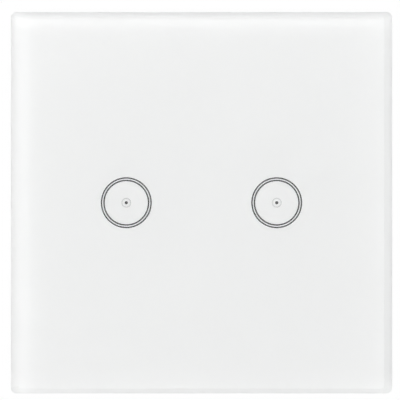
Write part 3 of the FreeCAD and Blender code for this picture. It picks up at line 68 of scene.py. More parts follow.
class Shader:
    """A node tree under construction, with short names for what every material needs."""

    def __init__(self, name):
        self.material = bpy.data.materials.new(name)
        self.material.use_nodes = True
        self.tree = self.material.node_tree
        self.body = self.tree.nodes["Principled BSDF"]
        self.out = self.tree.nodes["Material Output"]
        place = self.node("ShaderNodeTexCoord")
        self.place = place.outputs["Object"]

    def node(self, kind, **inputs):
        """A new node with values on the sockets named."""
        made = self.tree.nodes.new(kind)
        for key, value in inputs.items():
            made.inputs[key.replace("_", " ")].default_value = value
        return made

    def link(self, source, target):
        self.tree.links.new(source, target)

    def set(self, **values):
        """Sets the shader's own sockets."""
        for key, value in values.items():
            socket = self.body.inputs[key.replace("_", " ")]
            socket.default_value = (*value, 1) if isinstance(value, tuple) else value

    def noise(self, scale, detail=3, stretch=EVEN, rough=0.5):
        """Noise over the object; the scale counts features per metre."""
        source = self.place
        if stretch != EVEN:
            mapping = self.node("ShaderNodeMapping")
            mapping.inputs["Scale"].default_value = stretch
            self.link(self.place, mapping.inputs["Vector"])
            source = mapping.outputs["Vector"]
        made = self.node("ShaderNodeTexNoise", Scale=scale, Detail=detail, Roughness=rough)
        self.link(source, made.inputs["Vector"])
        return made.outputs["Fac"]

    def spread(self, source, low, high, start=0.3, end=0.7):
        """A value from low to high as the source goes from start to end."""
        made = self.node(
            "ShaderNodeMapRange", From_Min=start, From_Max=end, To_Min=low, To_Max=high,
        )
        self.link(source, made.inputs["Value"])
        return made.outputs["Result"]

    def combine(self, operation, first, second):
        """The result of a calculation with two values."""
        made = self.node("ShaderNodeMath")
        made.operation = operation
        self.link(first, made.inputs[0])
        self.link(second, made.inputs[1])
        return made.outputs[0]

    def axes(self):
        """The place on the object, split into its outputs X, Y and Z."""
        parts = self.node("ShaderNodeSeparateXYZ")
        self.link(self.place, parts.inputs[0])
        return parts.outputs

    def mix(self, source, first, second):
        """A colour between two, by the source."""
        made = self.tree.nodes.new("ShaderNodeMix")
        made.data_type = "RGBA"
        for place, colour in ((COLOUR_A, first), (COLOUR_B, second)):
            if isinstance(colour, tuple):
                made.inputs[place].default_value = (*colour, 1)
            else:
                self.link(colour, made.inputs[place])
        self.link(source, made.inputs[0])
        return made.outputs[COLOUR_OUT]

    def colour(self, source):
        self.link(source, self.body.inputs["Base Color"])

    def roughness(self, source):
        self.link(source, self.body.inputs["Roughness"])

    def bump(self, source, height, before=None):
        """Adds a relief of a height in metres, over the one before."""
        made = self.node("ShaderNodeBump", Strength=1.0, Distance=height)
        self.link(source, made.inputs["Height"])
        if before is not None:
            self.link(before, made.inputs["Normal"])
        self.link(made.outputs["Normal"], self.body.inputs["Normal"])
        return made.outputs["Normal"]


def shade(colour, amount):
    """A colour made lighter or darker by a share."""
    return tuple(min(1.0, max(0.0, c * (1 + amount))) for c in colour)


def moulded(name, colour, vary, rough=0.4, grain=2500, relief=0.004, coat=0.0):
    """Moulded plastic: a fine spark-eroded grain, faint flow marks and an uneven sheen."""
    s = Shader(name)
    cloud = s.noise(60, 4)
    s.colour(s.mix(cloud, shade(colour, -vary), shade(colour, vary)))
    fine = s.noise(grain, 2)
    s.roughness(s.spread(fine, rough - 0.06, rough + 0.08))
    flow = s.noise(90, 2, (1, 1, 4))
    first = s.bump(flow, 0.01 * MM)
    s.bump(fine, relief * MM, first)
    s.set(Coat_Weight=coat, Coat_Roughness=0.1, Specular_IOR_Level=0.5)
    return s.material


def plated(name, colour, rough, stretch, scratches=900, relief=0.003):
    """Plated steel: rolled or brushed lines, clouded by the plating bath."""
    s = Shader(name)
    cloud = s.noise(180, 5, rough=0.6)
    s.colour(s.mix(cloud, shade(colour, -0.1), shade(colour, 0.06)))
    lines = s.noise(scratches, 4, stretch)
    s.roughness(s.spread(lines, rough - 0.08, rough + 0.14))
    s.bump(lines, relief * MM)
    s.set(Metallic=1.0)
    return s.material


def resin(name, colour, rough, grain=4000, relief=0.006):
    """Epoxy, ceramic or ferrite: a dull grain with fine specks."""
    s = Shader(name)
    fine = s.noise(grain, 3)
    s.colour(s.mix(s.spread(fine, 0, 1), shade(colour, -0.15), shade(colour, 0.2)))
    s.roughness(s.spread(s.noise(300, 3), rough - 0.08, rough + 0.08))
    s.bump(fine, relief * MM)
    return s.material


def film(name, colour, rough=0.25, ripple=700, relief=0.01):
    """Shrunk sleeve, dipped lacquer or tape: glossy, with soft ripples."""
    s = Shader(name)
    wave = s.noise(ripple, 2)
    s.colour(s.mix(s.noise(150, 3), shade(colour, -0.08), shade(colour, 0.08)))
    s.roughness(s.spread(s.noise(900, 3), rough - 0.07, rough + 0.07))
    s.bump(wave, relief * MM)
    s.set(Coat_Weight=0.3, Coat_Roughness=0.12)
    return s.material


def board(name, colour):
    """Circuit board: solder mask over a glass weave."""
    s = Shader(name)
    across = s.noise(900, 2, (1, 1, 0.12))
    down = s.noise(900, 2, (0.12, 1, 1))
    cloth = s.combine("ADD", across, down)
    s.colour(s.mix(s.spread(cloth, 0, 1, 0.7, 1.3), shade(colour, -0.12), shade(colour, 0.18)))
    s.roughness(s.spread(s.noise(400, 3), 0.28, 0.42))
    s.bump(cloth, 0.008 * MM)
    s.set(Coat_Weight=0.25, Coat_Roughness=0.15)
    return s.material


def glass(name, tint, absorbed, density):
    """Clear glass, faintly green where it is thick, with finely ground edges."""
    ground, polished, blend = 0.62, 0.0, 0.1
    s = Shader(name)
    s.colour(s.mix(s.noise(35, 3), shade(tint, -0.006), tint))
    s.set(Transmission_Weight=1.0, IOR=1.52)
    below = -(GROUND_EDGE - blend) * MM
    s.roughness(s.spread(s.axes()["Y"], polished, ground, -GROUND_EDGE * MM, below))
    volume = s.node("ShaderNodeVolumeAbsorption", Color=(*absorbed, 1), Density=density)
    s.link(volume.outputs["Volume"], s.out.inputs["Volume"])
    return s.material


def printed(name, colour, thin=0.0):
    """The opaque print behind the glass: even, with a faint screen texture.

    Its side and top margins are darker by a share, which is painted shade."""
    rough = 0.45
    side_margin, top_margin = (40.7, 41.2), (41.3, 41.8)
    s = Shader(name)
    place = s.axes()
    across = s.node("ShaderNodeMath")
    across.operation = "ABSOLUTE"
    s.link(place["X"], across.inputs[0])
    margins = [
        s.spread(source, 0, 1, start * MM, end * MM)
        for source, (start, end) in ((across.outputs[0], side_margin), (place["Z"], top_margin))
    ]
    even = s.mix(s.noise(25, 3), shade(colour, -0.004), shade(colour, 0.004))
    # Painted shade: the print's colour is darkened by a share in its side and top margins.
    s.colour(s.mix(s.combine("MAXIMUM", *margins), even, shade(colour, -thin)))
    s.roughness(s.spread(s.noise(5000, 2), rough - 0.05, rough + 0.05))
    s.set(Specular_IOR_Level=0.1)
    return s.material


LOOKS = {}


def add_look(kind, name, colour, **settings):
    """Makes a material that pieces and nodes find by its name."""
    LOOKS[name] = kind(name, colour, **settings)


add_look(glass, "clear_glass", (0.999, 1.0, 0.999), absorbed=(0.84, 0.95, 0.93), density=5)
# The white print's darker margins are painted shade.
add_look(printed, "white_print", (0.972, 0.972, 0.972), thin=0.035)
add_look(plated, "dark_metal", (0.008, 0.0085, 0.01),
         rough=0.24, stretch=EVEN, scratches=3000, relief=0.001)
add_look(film, "light_band", (0.88, 0.885, 0.89), rough=0.3, ripple=1500, relief=0.002)
# Grey for the lamp window's edge: painted shade, standing in for the shade at the window's rim.
add_look(printed, "window_edge", (0.73, 0.735, 0.735))
add_look(printed, "dark_print", (0.012, 0.012, 0.014))
add_look(moulded, "white_plastic", (0.86, 0.865, 0.865),
         rough=0.36, grain=3000, relief=0.002, vary=0.012)
add_look(board, "board_green", (0.02, 0.16, 0.07))
add_look(board, "board_track", (0.045, 0.27, 0.12))
add_look(board, "board_dark", (0.012, 0.022, 0.05))
add_look(plated, "zinc_steel", (0.74, 0.76, 0.80),
         rough=0.25, stretch=EVEN, scratches=1500, relief=0.002)
add_look(plated, "spring_steel", (0.74, 0.75, 0.77),
         rough=0.22, stretch=EVEN, scratches=2200, relief=0.002)
add_look(moulded, "clear_plastic", (0.88, 0.9, 0.91),
         rough=0.2, relief=0.001, vary=0.01, coat=0.3)
add_look(film, "lamp_plastic", (0.82, 0.78, 0.5), rough=0.2, ripple=1500, relief=0.004)
add_look(resin, "black_resin", (0.03, 0.03, 0.032), rough=0.55)
add_look(resin, "ceramic_tan", (0.42, 0.3, 0.18), rough=0.45)
add_look(plated, "tinned_steel", (0.72, 0.73, 0.74),
         rough=0.34, stretch=(1, 1, 8), scratches=700, relief=0.004)
add_look(moulded, "black_header", (0.025, 0.025, 0.027), grain=3000, vary=0.1)
add_look(plated, "pressed_steel", (0.66, 0.68, 0.70),
         rough=0.34, stretch=(1, 1, 16), scratches=500, relief=0.004)
add_look(moulded, "housing_plastic", (0.80, 0.80, 0.785),
         rough=0.5, grain=1800, relief=0.012, vary=0.02)
add_look(moulded, "relay_plastic", (0.05, 0.13, 0.36), rough=0.33, vary=0.05)
add_look(resin, "ferrite", (0.07, 0.07, 0.075), rough=0.7, grain=3000, relief=0.01)
add_look(film, "winding_tape", (0.74, 0.58, 0.08), rough=0.28, ripple=500, relief=0.02)
add_look(film, "sleeve_black", (0.03, 0.03, 0.045))
add_look(film, "film_yellow", (0.8, 0.55, 0.06), rough=0.28)
add_look(film, "varistor_blue", (0.04, 0.14, 0.42), rough=0.32, ripple=500, relief=0.02)
add_look(moulded, "fuse_black", (0.03, 0.03, 0.03), rough=0.42, relief=0.006, vary=0.1)
add_look(moulded, "terminal_plastic", (0.06, 0.2, 0.11), grain=2200, relief=0.006, vary=0.05)
add_look(plated, "contact_brass", (0.78, 0.58, 0.27), rough=0.28, stretch=(1, 1, 12))
add_look(plated, "terminal_steel", (0.72, 0.70, 0.65),
         rough=0.25, stretch=EVEN, scratches=1800, relief=0.002)
add_look(plated, "cage_steel", (0.68, 0.69, 0.68),
         rough=0.32, stretch=(12, 1, 1), scratches=700, relief=0.004)


# The CAD nodes keep their shapes: each gets its material, and most get softened edges

# Width of the softened edge of each node, in millimetres
EDGES = {
    "rear_housing": 0.12, "housing_lid": 0.1, "front_frame": 0.12, "mounting_frame": 0.08,
    "snap_hooks": 0.12, "terminal_block": 0.1, "film_capacitor": 0.5, "rectifier": 0.15,
    "fuse": 0.3, "transformer_core": 0.15, "touch_controller": 0.05, "board_small_parts": 0.05,
    "indicator_lamps": 0.06, "pin_header": 0.06, "board_socket": 0.08,
    "terminal_contacts": 0.06, "module_shield": 0.06, "touch_board": 0.05,
    "power_board": 0.05, "wireless_module": 0.05,
    **{f"terminal_cage_{number}": 0.08 for number in range(1, 5)},
}


def soften(thing, width):
    """Rounds the sharp edges of a CAD node by modifiers, without touching its mesh."""
    weld = thing.modifiers.new("weld", "WELD")
    weld.merge_threshold = 0.0005 * MM
    bevel = thing.modifiers.new("edge", "BEVEL")
    bevel.width = width * MM
    bevel.segments = 2
    bevel.limit_method = "ANGLE"
    bevel.angle_limit = math.radians(35)
    bevel.use_clamp_overlap = True
    bevel.harden_normals = False
    weighted = thing.modifiers.new("normals", "WEIGHTED_NORMAL")
    weighted.keep_sharp = False


def dress_nodes():
    """Gives every CAD node its material."""
    for row in frame["record"]["subparts"]:
        thing = NODES[row["node"]]
        for i in range(len(thing.data.materials)):
            thing.data.materials[i] = LOOKS[row["material_slot"]]
        if row["node"] in EDGES:
            soften(thing, EDGES[row["node"]])


# Meshes: these take millimetres

# Faces that meet at more than this angle keep a sharp edge
SHARP = math.radians(40)


def as_object(mesh, name):
    """A scene object made of a bmesh, which is freed."""
    data = bpy.data.meshes.new(name)
    mesh.to_mesh(data)
    mesh.free()
    made = bpy.data.objects.new(name, data)
    scene.collection.objects.link(made)
    return made


def piece(name, mesh, look, body, replaced=()):
    """Turns a bmesh into a piece with its material, body and replaced nodes."""
    bmesh.ops.recalc_face_normals(mesh, faces=mesh.faces)
    made = as_object(mesh, name)
    data = made.data
    data.materials.append(LOOKS[look])
    for face in data.polygons:
        face.use_smooth = True
    data.set_sharp_from_angle(angle=SHARP)
    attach(made, body)
    if replaced:
        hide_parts(*replaced)
    return made


def around(middle, radius, turn):
    """The point at an angle on a circle."""
    return middle[0] + radius * math.cos(turn), middle[1] + radius * math.sin(turn)


def vertex(mesh, x, z, height):
    return mesh.verts.new((x * MM, -height * MM, z * MM))


def sides(mesh, low, high):
    """The faces between two closed rows of as many vertices."""
    for n in range(len(low)):
        after = (n + 1) % len(low)
        mesh.faces.new((low[n], low[after], high[after], high[n]))


def rounded_outline(wide, tall, radius, steps):
    """Points of a rounded rectangle, counter-clockwise from the right edge's foot."""
    points = []
    for k, (i, j) in enumerate(((1, -1), (1, 1), (-1, 1), (-1, -1))):
        middle = (i * (wide / 2 - radius), j * (tall / 2 - radius))
        for n in range(steps + 1):
            points.append(around(middle, radius, math.radians(-90 + 90 * k + 90 * n / steps)))
    return points


def stacked(levels, hollow=False):
    """A closed skin through outlines of equal point counts, each at its height.

    A hollow one goes from its last outline back to the first, as a picture frame does."""
    mesh = bmesh.new()
    rows = [[vertex(mesh, x, z, height) for x, z in outline] for height, outline in levels]
    for low, high in zip(rows, rows[1:] + rows[:1] if hollow else rows[1:]):
        sides(mesh, low, high)
    if not hollow:
        mesh.faces.new(rows[0])
        mesh.faces.new(rows[-1])
    return mesh


def lathe(profile, x, z, steps, mesh=None):
    """Turns a closed profile of (radius, height) points about an axis along Y.

    It is added to the mesh, where there is one."""
    mesh = mesh or bmesh.new()
    rings = []
    for radius, height in profile:
        places = [(x, z)]
        if radius:
            places = [around((x, z), radius, 2 * math.pi * n / steps) for n in range(steps)]
        rings.append([vertex(mesh, *place, height) for place in places])
    for first, second in zip(rings, rings[1:] + rings[:1]):
        if len(first) > 1 and len(second) > 1:
            for n in range(steps):
                after = (n + 1) % steps
                mesh.faces.new((first[n], second[n], second[after], first[after]))
        elif len(first) > 1:
            for n in range(steps):
                mesh.faces.new((first[n], second[0], first[(n + 1) % steps]))
        elif len(second) > 1:
            for n in range(steps):
                mesh.faces.new((first[0], second[n], second[(n + 1) % steps]))
    return mesh


def frustum(x, z, low, high, low_size, high_size):
    """A tapered block between two heights, with its wide and tall sizes at each."""
    mesh = bmesh.new()
    rows = [
        [
            vertex(mesh, x + i * wide / 2, z + j * tall / 2, height)
            for i, j in ((-1, -1), (1, -1), (1, 1), (-1, 1))
        ]
        for height, (wide, tall) in ((low, low_size), (high, high_size))
    ]
    sides(mesh, *rows)
    for row in rows:
        mesh.faces.new(row)
    bmesh.ops.recalc_face_normals(mesh, faces=mesh.faces)
    return mesh


def join(mesh, other):
    """Adds one mesh's faces to another's."""
    data = bpy.data.meshes.new("joined")
    other.to_mesh(data)
    other.free()
    mesh.from_mesh(data)
    bpy.data.meshes.remove(data)


def brick(mesh, x, z, low, wide, tall, deep, edge):
    """A block with rounded edges, added to a mesh."""
    block = frustum(x, z, low, low + deep, (wide, tall), (wide, tall))
    bmesh.ops.bevel(
        block, geom=block.edges[:], offset=edge * MM, segments=2, profile=0.5, affect="EDGES",
    )
    join(mesh, block)


def strip(mesh, path, wide, low):
    """A flat track along a path of (x, z) points, with corners mitred up to a limit."""
    deep, limit = 0.05, 0.5
    points = [Vector(point) for point in path]
    left, right = [], []
    for n, here in enumerate(points):
        before = (here - points[n - 1]).normalized() if n else None
        after = (points[n + 1] - here).normalized() if n < len(points) - 1 else None
        along = ((before or after) + (after or before)).normalized()
        across = Vector((-along.y, along.x))
        reach = wide / 2 / max(limit, abs(along.dot(after or before)))
        left.append(here + across * reach)
        right.append(here - across * reach)
    outline = left + right[::-1]
    rows = [
        [vertex(mesh, p.x, p.y, height) for p in outline] for height in (low, low + deep)
    ]
    sides(mesh, *rows)
    count = len(outline)
    for row in rows:
        for n in range(len(points) - 1):
            mesh.faces.new((row[n], row[n + 1], row[count - 2 - n], row[count - 1 - n]))


def carved(mesh, cutters):
    """The mesh with each cutter's shape taken out of it."""
    bmesh.ops.recalc_face_normals(mesh, faces=mesh.faces)
    whole = as_object(mesh, "carved")
    tools = [as_object(cutter, "cutter") for cutter in cutters]
    for tool in tools:
        cut = whole.modifiers.new("cut", "BOOLEAN")
        cut.operation = "DIFFERENCE"
        cut.solver = "EXACT"
        cut.object = tool
    done = whole.evaluated_get(bpy.context.evaluated_depsgraph_get())
    result = bmesh.new()
    result.from_mesh(done.to_mesh())
    done.to_mesh_clear()
    for thing in [whole, *tools]:
        data = thing.data
        bpy.data.objects.remove(thing)
        bpy.data.meshes.remove(data)
    return result


# The glass: a polished pane, wide bevels at the sides, narrow ones above and below

def make_glass():
    corner, face_corner = 1.3, 0.7
    side_bevel, end_bevel = 1.8, 1.1
    arris, polish, into_print = 0.3, 0.12, 0.03
    wide, tall = SIDE - 2 * side_bevel, SIDE - 2 * end_bevel
    levels = [
        (PRINT_FRONT - into_print, SIDE - 2 * arris, SIDE - 2 * arris, corner - arris),
        (PRINT_FRONT + arris, SIDE - polish / 2, SIDE - polish / 2, corner),
        (PRINT_FRONT + arris + polish, SIDE, SIDE, corner),
        (GROUND_EDGE - polish, SIDE, SIDE, corner),
        (GROUND_EDGE + 0.02, SIDE - 0.14, SIDE - 0.1, corner),
        (FACE - 0.07, wide + 0.36, tall + 0.22, face_corner + 0.1),
        (FACE - 0.02, wide + 0.1, tall + 0.06, face_corner + 0.02),
        (FACE, wide - 0.2, tall - 0.2, face_corner),
    ]
    skins = [(height, rounded_outline(*sizes, 10)) for height, *sizes in levels]
    pane = piece("glass_pane", stacked(skins), "clear_glass", "panel", ["glass_panel"])
    weighted = pane.modifiers.new("normals", "WEIGHTED_NORMAL")
    weighted.keep_sharp = True


# Keys: two fine lines, and a dot, a halo and a window edge in the middle; the window edge's grey
# is painted shade

def make_keys():
    ring, gap, line, dot = 5.6, 0.56, 0.31, 0.36
    halo, window = 0.83, 1.08
    # The lines stand a little proud of the print, so that they show their full width.
    low, outside, inside = PRINT_FRONT - 0.25, PRINT_FRONT + 0.012, PRINT_FRONT + 0.045
    # The discs in the middle begin behind the print's front.
    foot, shoulder = PRINT_FRONT - 0.1, PRINT_FRONT - 0.005
    for side, x in (("left", -KEY_X), ("right", KEY_X)):
        lines = bmesh.new()
        for middle in (ring, ring - gap):
            inner, outer = middle - line / 2, middle + line / 2
            lathe([(inner, low), (outer, low), (outer, outside), (inner, inside)],
                  x, 0, 128, lines)
        piece("ring_lines_" + side, lines, "dark_metal", "panel", ["touch_ring_" + side])
        disc = lathe([
            (dot, foot), (halo, foot), (halo, shoulder), (halo - 0.02, PRINT_FRONT),
            (dot, PRINT_FRONT),
        ], x, 0, 64)
        piece("lamp_halo_" + side, disc, "white_print", "panel")
        # A flat grey ring round the halo: painted shade for the window's rim.
        edge = lathe([
            (halo + 0.01, foot), (window, foot), (window, shoulder),
            (window + 0.06, PRINT_FRONT + 0.001), (window + 0.06, PRINT_FRONT + 0.004),
            (halo + 0.01, PRINT_FRONT + 0.004),
        ], x, 0, 64)
        piece("lamp_window_" + side, edge, "window_edge", "panel")
    dots = bmesh.new()
    for x in (-KEY_X, KEY_X):
        lathe([
            (0, foot), (dot, foot), (dot, shoulder), (dot - 0.02, PRINT_FRONT + 0.002),
            (0, PRINT_FRONT + 0.002),
        ], x, 0, 48, dots)
    piece("lamp_dots", dots, "dark_print", "panel", ["indicator_dots"])


# Screws: turned heads with their driver recesses, over a cut thread

def add_thread(mesh, x, z, low, high, root, crest, pitch):
    """A screw's thread between two heights, closed at both ends and tapered at its tips."""
    steps, rows_each = 24, 6
    rows = []
    count = round((high - low) / pitch * rows_each)
    for j in range(count + 1):
        height = low + (high - low) * j / count
        end = min(1.0, min(j, count - j) / rows_each)
        row = []
        for i in range(steps):
            phase = (height / pitch - i / steps) % 1.0
            radius = root + (crest - root) * end * (1 - abs(2 * phase - 1))
            place = around((x, z), radius, 2 * math.pi * i / steps)
            row.append(vertex(mesh, *place, height))
        rows.append(row)
    for first, second in zip(rows, rows[1:]):
        sides(mesh, first, second)
    mesh.faces.new(rows[0])
    mesh.faces.new(rows[-1])


def cross_recess(x, z, face, depth, reach, facing):
    """Two crossed wedges, for a cross-headed driver; facing is 1 for a head that looks out."""
    wide, narrow = 0.34 * reach, 0.16 * reach
    floor = face - facing * depth
    over = face + facing * 0.05
    return [
        frustum(x, z, floor, over, (a_low, b_low), (a_high, b_high))
        for a_low, b_low, a_high, b_high in (
            (reach * 0.9, narrow, 2 * reach, wide), (narrow, reach * 0.9, wide, 2 * reach),
        )
    ]


def make_housing_screws():
    """Countersunk screws in the housing's flange and in its lid."""
    top, head, shank = 2.4, 2.2, 1.2
    groups = {
        "frame_screws": ([(i * 12.0, k * 29.3) for i in (-1, 1) for k in (-1, 1)], 0.0),
        "lid_screws": ([(i * 21.2, z) for i in (-1, 1) for z in (-11.7, 23.2)], -4.0),
    }
    for label, (places, tip) in groups.items():
        whole = bmesh.new()
        for x, z in places:
            body = lathe([
                (0, top - 0.02), (head - 0.12, top - 0.02), (head, top - 0.1),
                (head - 0.04, top - 0.2), (shank, top - 1.05), (shank, tip + 0.3),
                (shank * 0.6, tip), (0, tip),
            ], x, z, 40)
            join(whole, carved(body, cross_recess(x, z, top, depth=0.75, reach=1.15, facing=1)))
        piece(label + "_turned", whole, "zinc_steel", "base", [label])


def make_board_screws():
    """Pan heads behind the touch board."""
    head, root, crest = 1.9, 0.7, 0.94
    low = TOUCH_BACK
    whole = bmesh.new()
    for x, z in [(i * 31.0, k * 26.0) for i in (-1, 1) for k in (-1, 1)]:
        body = lathe([
            (0, low + 2.3), (0.5, low + 2.3), (0.75, low + 1.9), (0.75, low), (head, low),
            (head, low - 0.7), (1.8, low - 0.95), (1.5, low - 1.14), (1.0, low - 1.2),
            (0, low - 1.2),
        ], x, z, 40)
        recess = cross_recess(x, z, low - 1.2, depth=0.75, reach=0.95, facing=-1)
        join(whole, carved(body, recess))
        add_thread(whole, x, z, low + 0.05, low + 2.0, root, crest, pitch=0.5)
    piece("board_screws_turned", whole, "zinc_steel", "panel", ["touch_board_screws"])


def make_clamp_screws():
    """Slotted and crossed clamp screws with their threads, one in each cage."""
    neck, back, tip = -22.55, -24.35, -15.3
    head, root, crest = 2.6, 1.36, 1.74
    spacing, z = 9.0, -20.65
    for number in range(4):
        x = (number - 1.5) * spacing
        body = lathe([
            (0, tip), (1.15, tip), (1.4, tip - 0.25), (1.4, neck), (head, neck),
            (head, back + 0.45), (2.52, back + 0.22), (2.35, back + 0.07), (2.1, back),
            (0, back),
        ], x, z, 56)
        slot = frustum(x, z, back - 0.1, back + 0.95, (6.0, 0.8), (6.0, 0.72))
        cross = cross_recess(x, z, back, depth=1.15, reach=1.35, facing=-1)
        whole = carved(body, [slot, *cross])
        add_thread(whole, x, z, neck + 0.05, tip - 0.1, root, crest, pitch=0.6)
        name = f"screw_{number + 1}"
        piece("clamp_" + name, whole, "terminal_steel", name, [f"terminal_{name}"])


# Small work on the back of the touch board and on its radio module

PIN_PITCH, PINS_Z = 2.54, -19.0


def make_tracks():
    """Tracks from the header's pins to the chips, the springs and the lamps."""
    signal, ground, feed, power = 0.3, 0.5, 0.45, 0.8
    under = TOUCH_BACK - 0.035
    tracks = bmesh.new()
    strip(tracks, [(0.0, -17.2), (0.0, -4.4)], ground, under)
    for side in (-1, 1):
        paths = []
        for n in range(3):
            x = (3 - n) * PIN_PITCH
            lane, start, end = 11.9 - 1.15 * n, -16.6 + 0.9 * n, 3.3 - 2.4 * n
            paths.append((signal, [
                (x, -17.4), (x, start), (x + 0.8, start + 0.8), (lane - 0.8, start + 0.8),
                (lane, start + 1.6), (lane, end - 1.0), (lane - 1.0, end), (8.4, end),
            ]))
        paths += [
            (signal, [(8.5, 13.8), (19.0, 13.8), (23.6, 9.2), (23.6, 5.0)]),
            (power, [
                (27.6, -22.0), (22.0, -22.0), (19.0, -19.0), (19.0, -12.0), (22.8, -8.2),
                (22.8, -5.0),
            ]),
            (feed, [(8.5, 15.8), (9.7, 17.0), (26.0, 17.0), (28.4, 19.4), (28.4, 22.6)]),
        ]
        for wide, path in paths:
            strip(tracks, [(side * x, z) for x, z in path], wide, under)
    piece("board_tracks", tracks, "board_track", "panel")


def make_board_parts():
    """Small chips, passives, vias and solder."""
    pads, cases, chips = bmesh.new(), bmesh.new(), bmesh.new()
    # Passives: the wide and tall sizes of a lying one's case, of its end caps and of their
    # solder, with the distance of the caps from its middle
    case, cap, solder, reach = (0.9, 0.8), (0.36, 0.82), (0.75, 1.0), 0.65
    parts = [
        (-16.5, 9.5, 0), (-16.5, 6.5, 0), (-16.5, 3.5, 0), (16.5, 9.5, 0), (16.5, 6.5, 0),
        (16.5, 3.5, 0), (22.0, -14.5, 1), (24.2, -14.5, 1), (-22.0, -14.5, 1), (-24.2, -14.5, 1),
        (-24.6, 12.5, 0), (24.6, 12.5, 0), (-14.8, -9.0, 1), (14.8, -9.0, 1),
    ]
    for x, z, upright in parts:
        turn = slice(None, None, -1 if upright else 1)
        brick(cases, x, z, TOUCH_BACK - 0.48, *case[turn], deep=0.47, edge=0.03)
        for end in (-1, 1):
            dx, dz = (end * reach, 0)[turn]
            brick(pads, x + dx, z + dz, TOUCH_BACK - 0.5, *cap[turn], deep=0.49, edge=0.06)
            dx, dz = 1.25 * dx, 1.25 * dz
            brick(pads, x + dx, z + dz, TOUCH_BACK - 0.06, *solder[turn], deep=0.06, edge=0.02)
    # Chips with their legs
    leg_pitch, leg_reach = 1.27, 2.45
    for x, z in ((-20.5, -1.0), (20.5, -1.0)):
        brick(chips, x, z, TOUCH_BACK - 0.65, 4.9, 3.9, deep=0.6, edge=0.06)
        for n in range(4):
            for side in (-1, 1):
                place = (x - 1.9 + leg_pitch * n, z + side * leg_reach)
                brick(pads, *place, TOUCH_BACK - 0.2, 0.42, 1.1, deep=0.2, edge=0.04)
    # Solder down both sides of the radio module
    for side in (-1, 1):
        for n in range(8):
            place = (side * 8.15, 15.8 - 2.0 * n)
            brick(pads, *place, TOUCH_BACK - 0.5, 0.7, 0.9, deep=0.5, edge=0.12)
    # Solder round the header's pins, on the front of the board
    front = TOUCH_BACK + 1.2
    for n in range(-3, 4):
        lathe([
            (0.3, front + 0.02), (1.0, front + 0.02), (0.75, front + 0.16),
            (0.5, front + 0.42), (0.36, front + 0.6), (0.3, front + 0.6),
        ], n * PIN_PITCH, PINS_Z, 20, pads)
    # Vias where tracks end
    vias = [(i * x, z) for i in (-1, 1) for x, z in (
        (23.6, 4.6), (28.4, 22.8), (12.0, 22.5), (19.6, 20.0), (7.5, -24.5), (27.8, -22.0),
        (22.8, -4.6), (29.5, 9.0), (29.5, -9.0),
    )]
    for x, z in vias + [(0.0, 24.0), (0.0, -4.2)]:
        lathe([
            (0.2, TOUCH_BACK - 0.005), (0.2, TOUCH_BACK - 0.05), (0.42, TOUCH_BACK - 0.05),
            (0.46, TOUCH_BACK - 0.005),
        ], x, z, 20, pads)
    piece("board_pads", pads, "tinned_steel", "panel")
    piece("board_chips", chips, "black_resin", "panel")
    piece("board_passives", cases, "ceramic_tan", "panel")


def make_aerial():
    """The radio module's folded aerial."""
    aerial = bmesh.new()
    start, low, fold, high, step = -6.8, 11.9, 12.9, 16.6, 2.2
    path = [(start, low)]
    for n in range(6):
        x = start + step * n
        path += [(x, high), (x + step / 2, high), (x + step / 2, fold), (x + step, fold)]
    path.append((start + step * 6, high))
    strip(aerial, path, 0.45, TOUCH_BACK - 0.8 - 0.035)
    piece("module_aerial", aerial, "contact_brass", "panel")


# The larger parts on the rear of the power board

def make_cans():
    """Electrolytic capacitors: a crimped sleeve round a metal end that is scored to vent."""
    for size, x, radius, end in (("large", 2.3, 5.0, -20.8), ("small", 12.1, 4.0, -17.8)):
        groove = radius / 8
        crimp = [
            (radius - groove * math.sin(math.pi * n / 8), POWER_BACK - groove * (2 + n / 4))
            for n in range(9)
        ]
        sleeve = lathe([
            (0, POWER_BACK), (radius - 0.4, POWER_BACK), (radius - 0.1, POWER_BACK - 0.12),
            (radius, POWER_BACK - 0.4), *crimp, (radius, end + 0.5), (radius - 0.12, end + 0.14),
            (radius - 0.45, end), (radius - 0.8, end), (radius - 0.95, end + 0.1),
            (radius - 1.0, end + 0.35), (0, end + 0.35),
        ], x, PART_ROW_Z, 64)
        piece(f"can_sleeve_{size}", sleeve, "sleeve_black", "base", [f"capacitor_{size}"])
        lid = radius - 1.02
        cap = lathe([
            (0, end + 0.34), (lid, end + 0.34), (lid, end + 0.16), (lid - 0.15, end + 0.08),
            (0, end + 0.08),
        ], x, PART_ROW_Z, 64)
        scores = [
            frustum(x, PART_ROW_Z, end, end + 0.22, high, low)
            for high, low in (
                ((1.5 * lid, 0.4), (1.5 * lid, 0.15)), ((0.4, 1.5 * lid), (0.15, 1.5 * lid)),
            )
        ]
        piece(f"can_end_{size}", carved(cap, scores), "tinned_steel", "base")


def ring_wall(levels, hole, mesh):
    """A wound or moulded wall round a hole: (height, wide, tall) levels, added to a mesh."""
    rows = [(height, rounded_outline(wide, tall, 1.6, 6)) for height, wide, tall in levels]
    for height in (levels[-1][0], levels[0][0]):
        rows.append((height, rounded_outline(*hole, 0.4, 6)))
    join(mesh, stacked(rows, True))


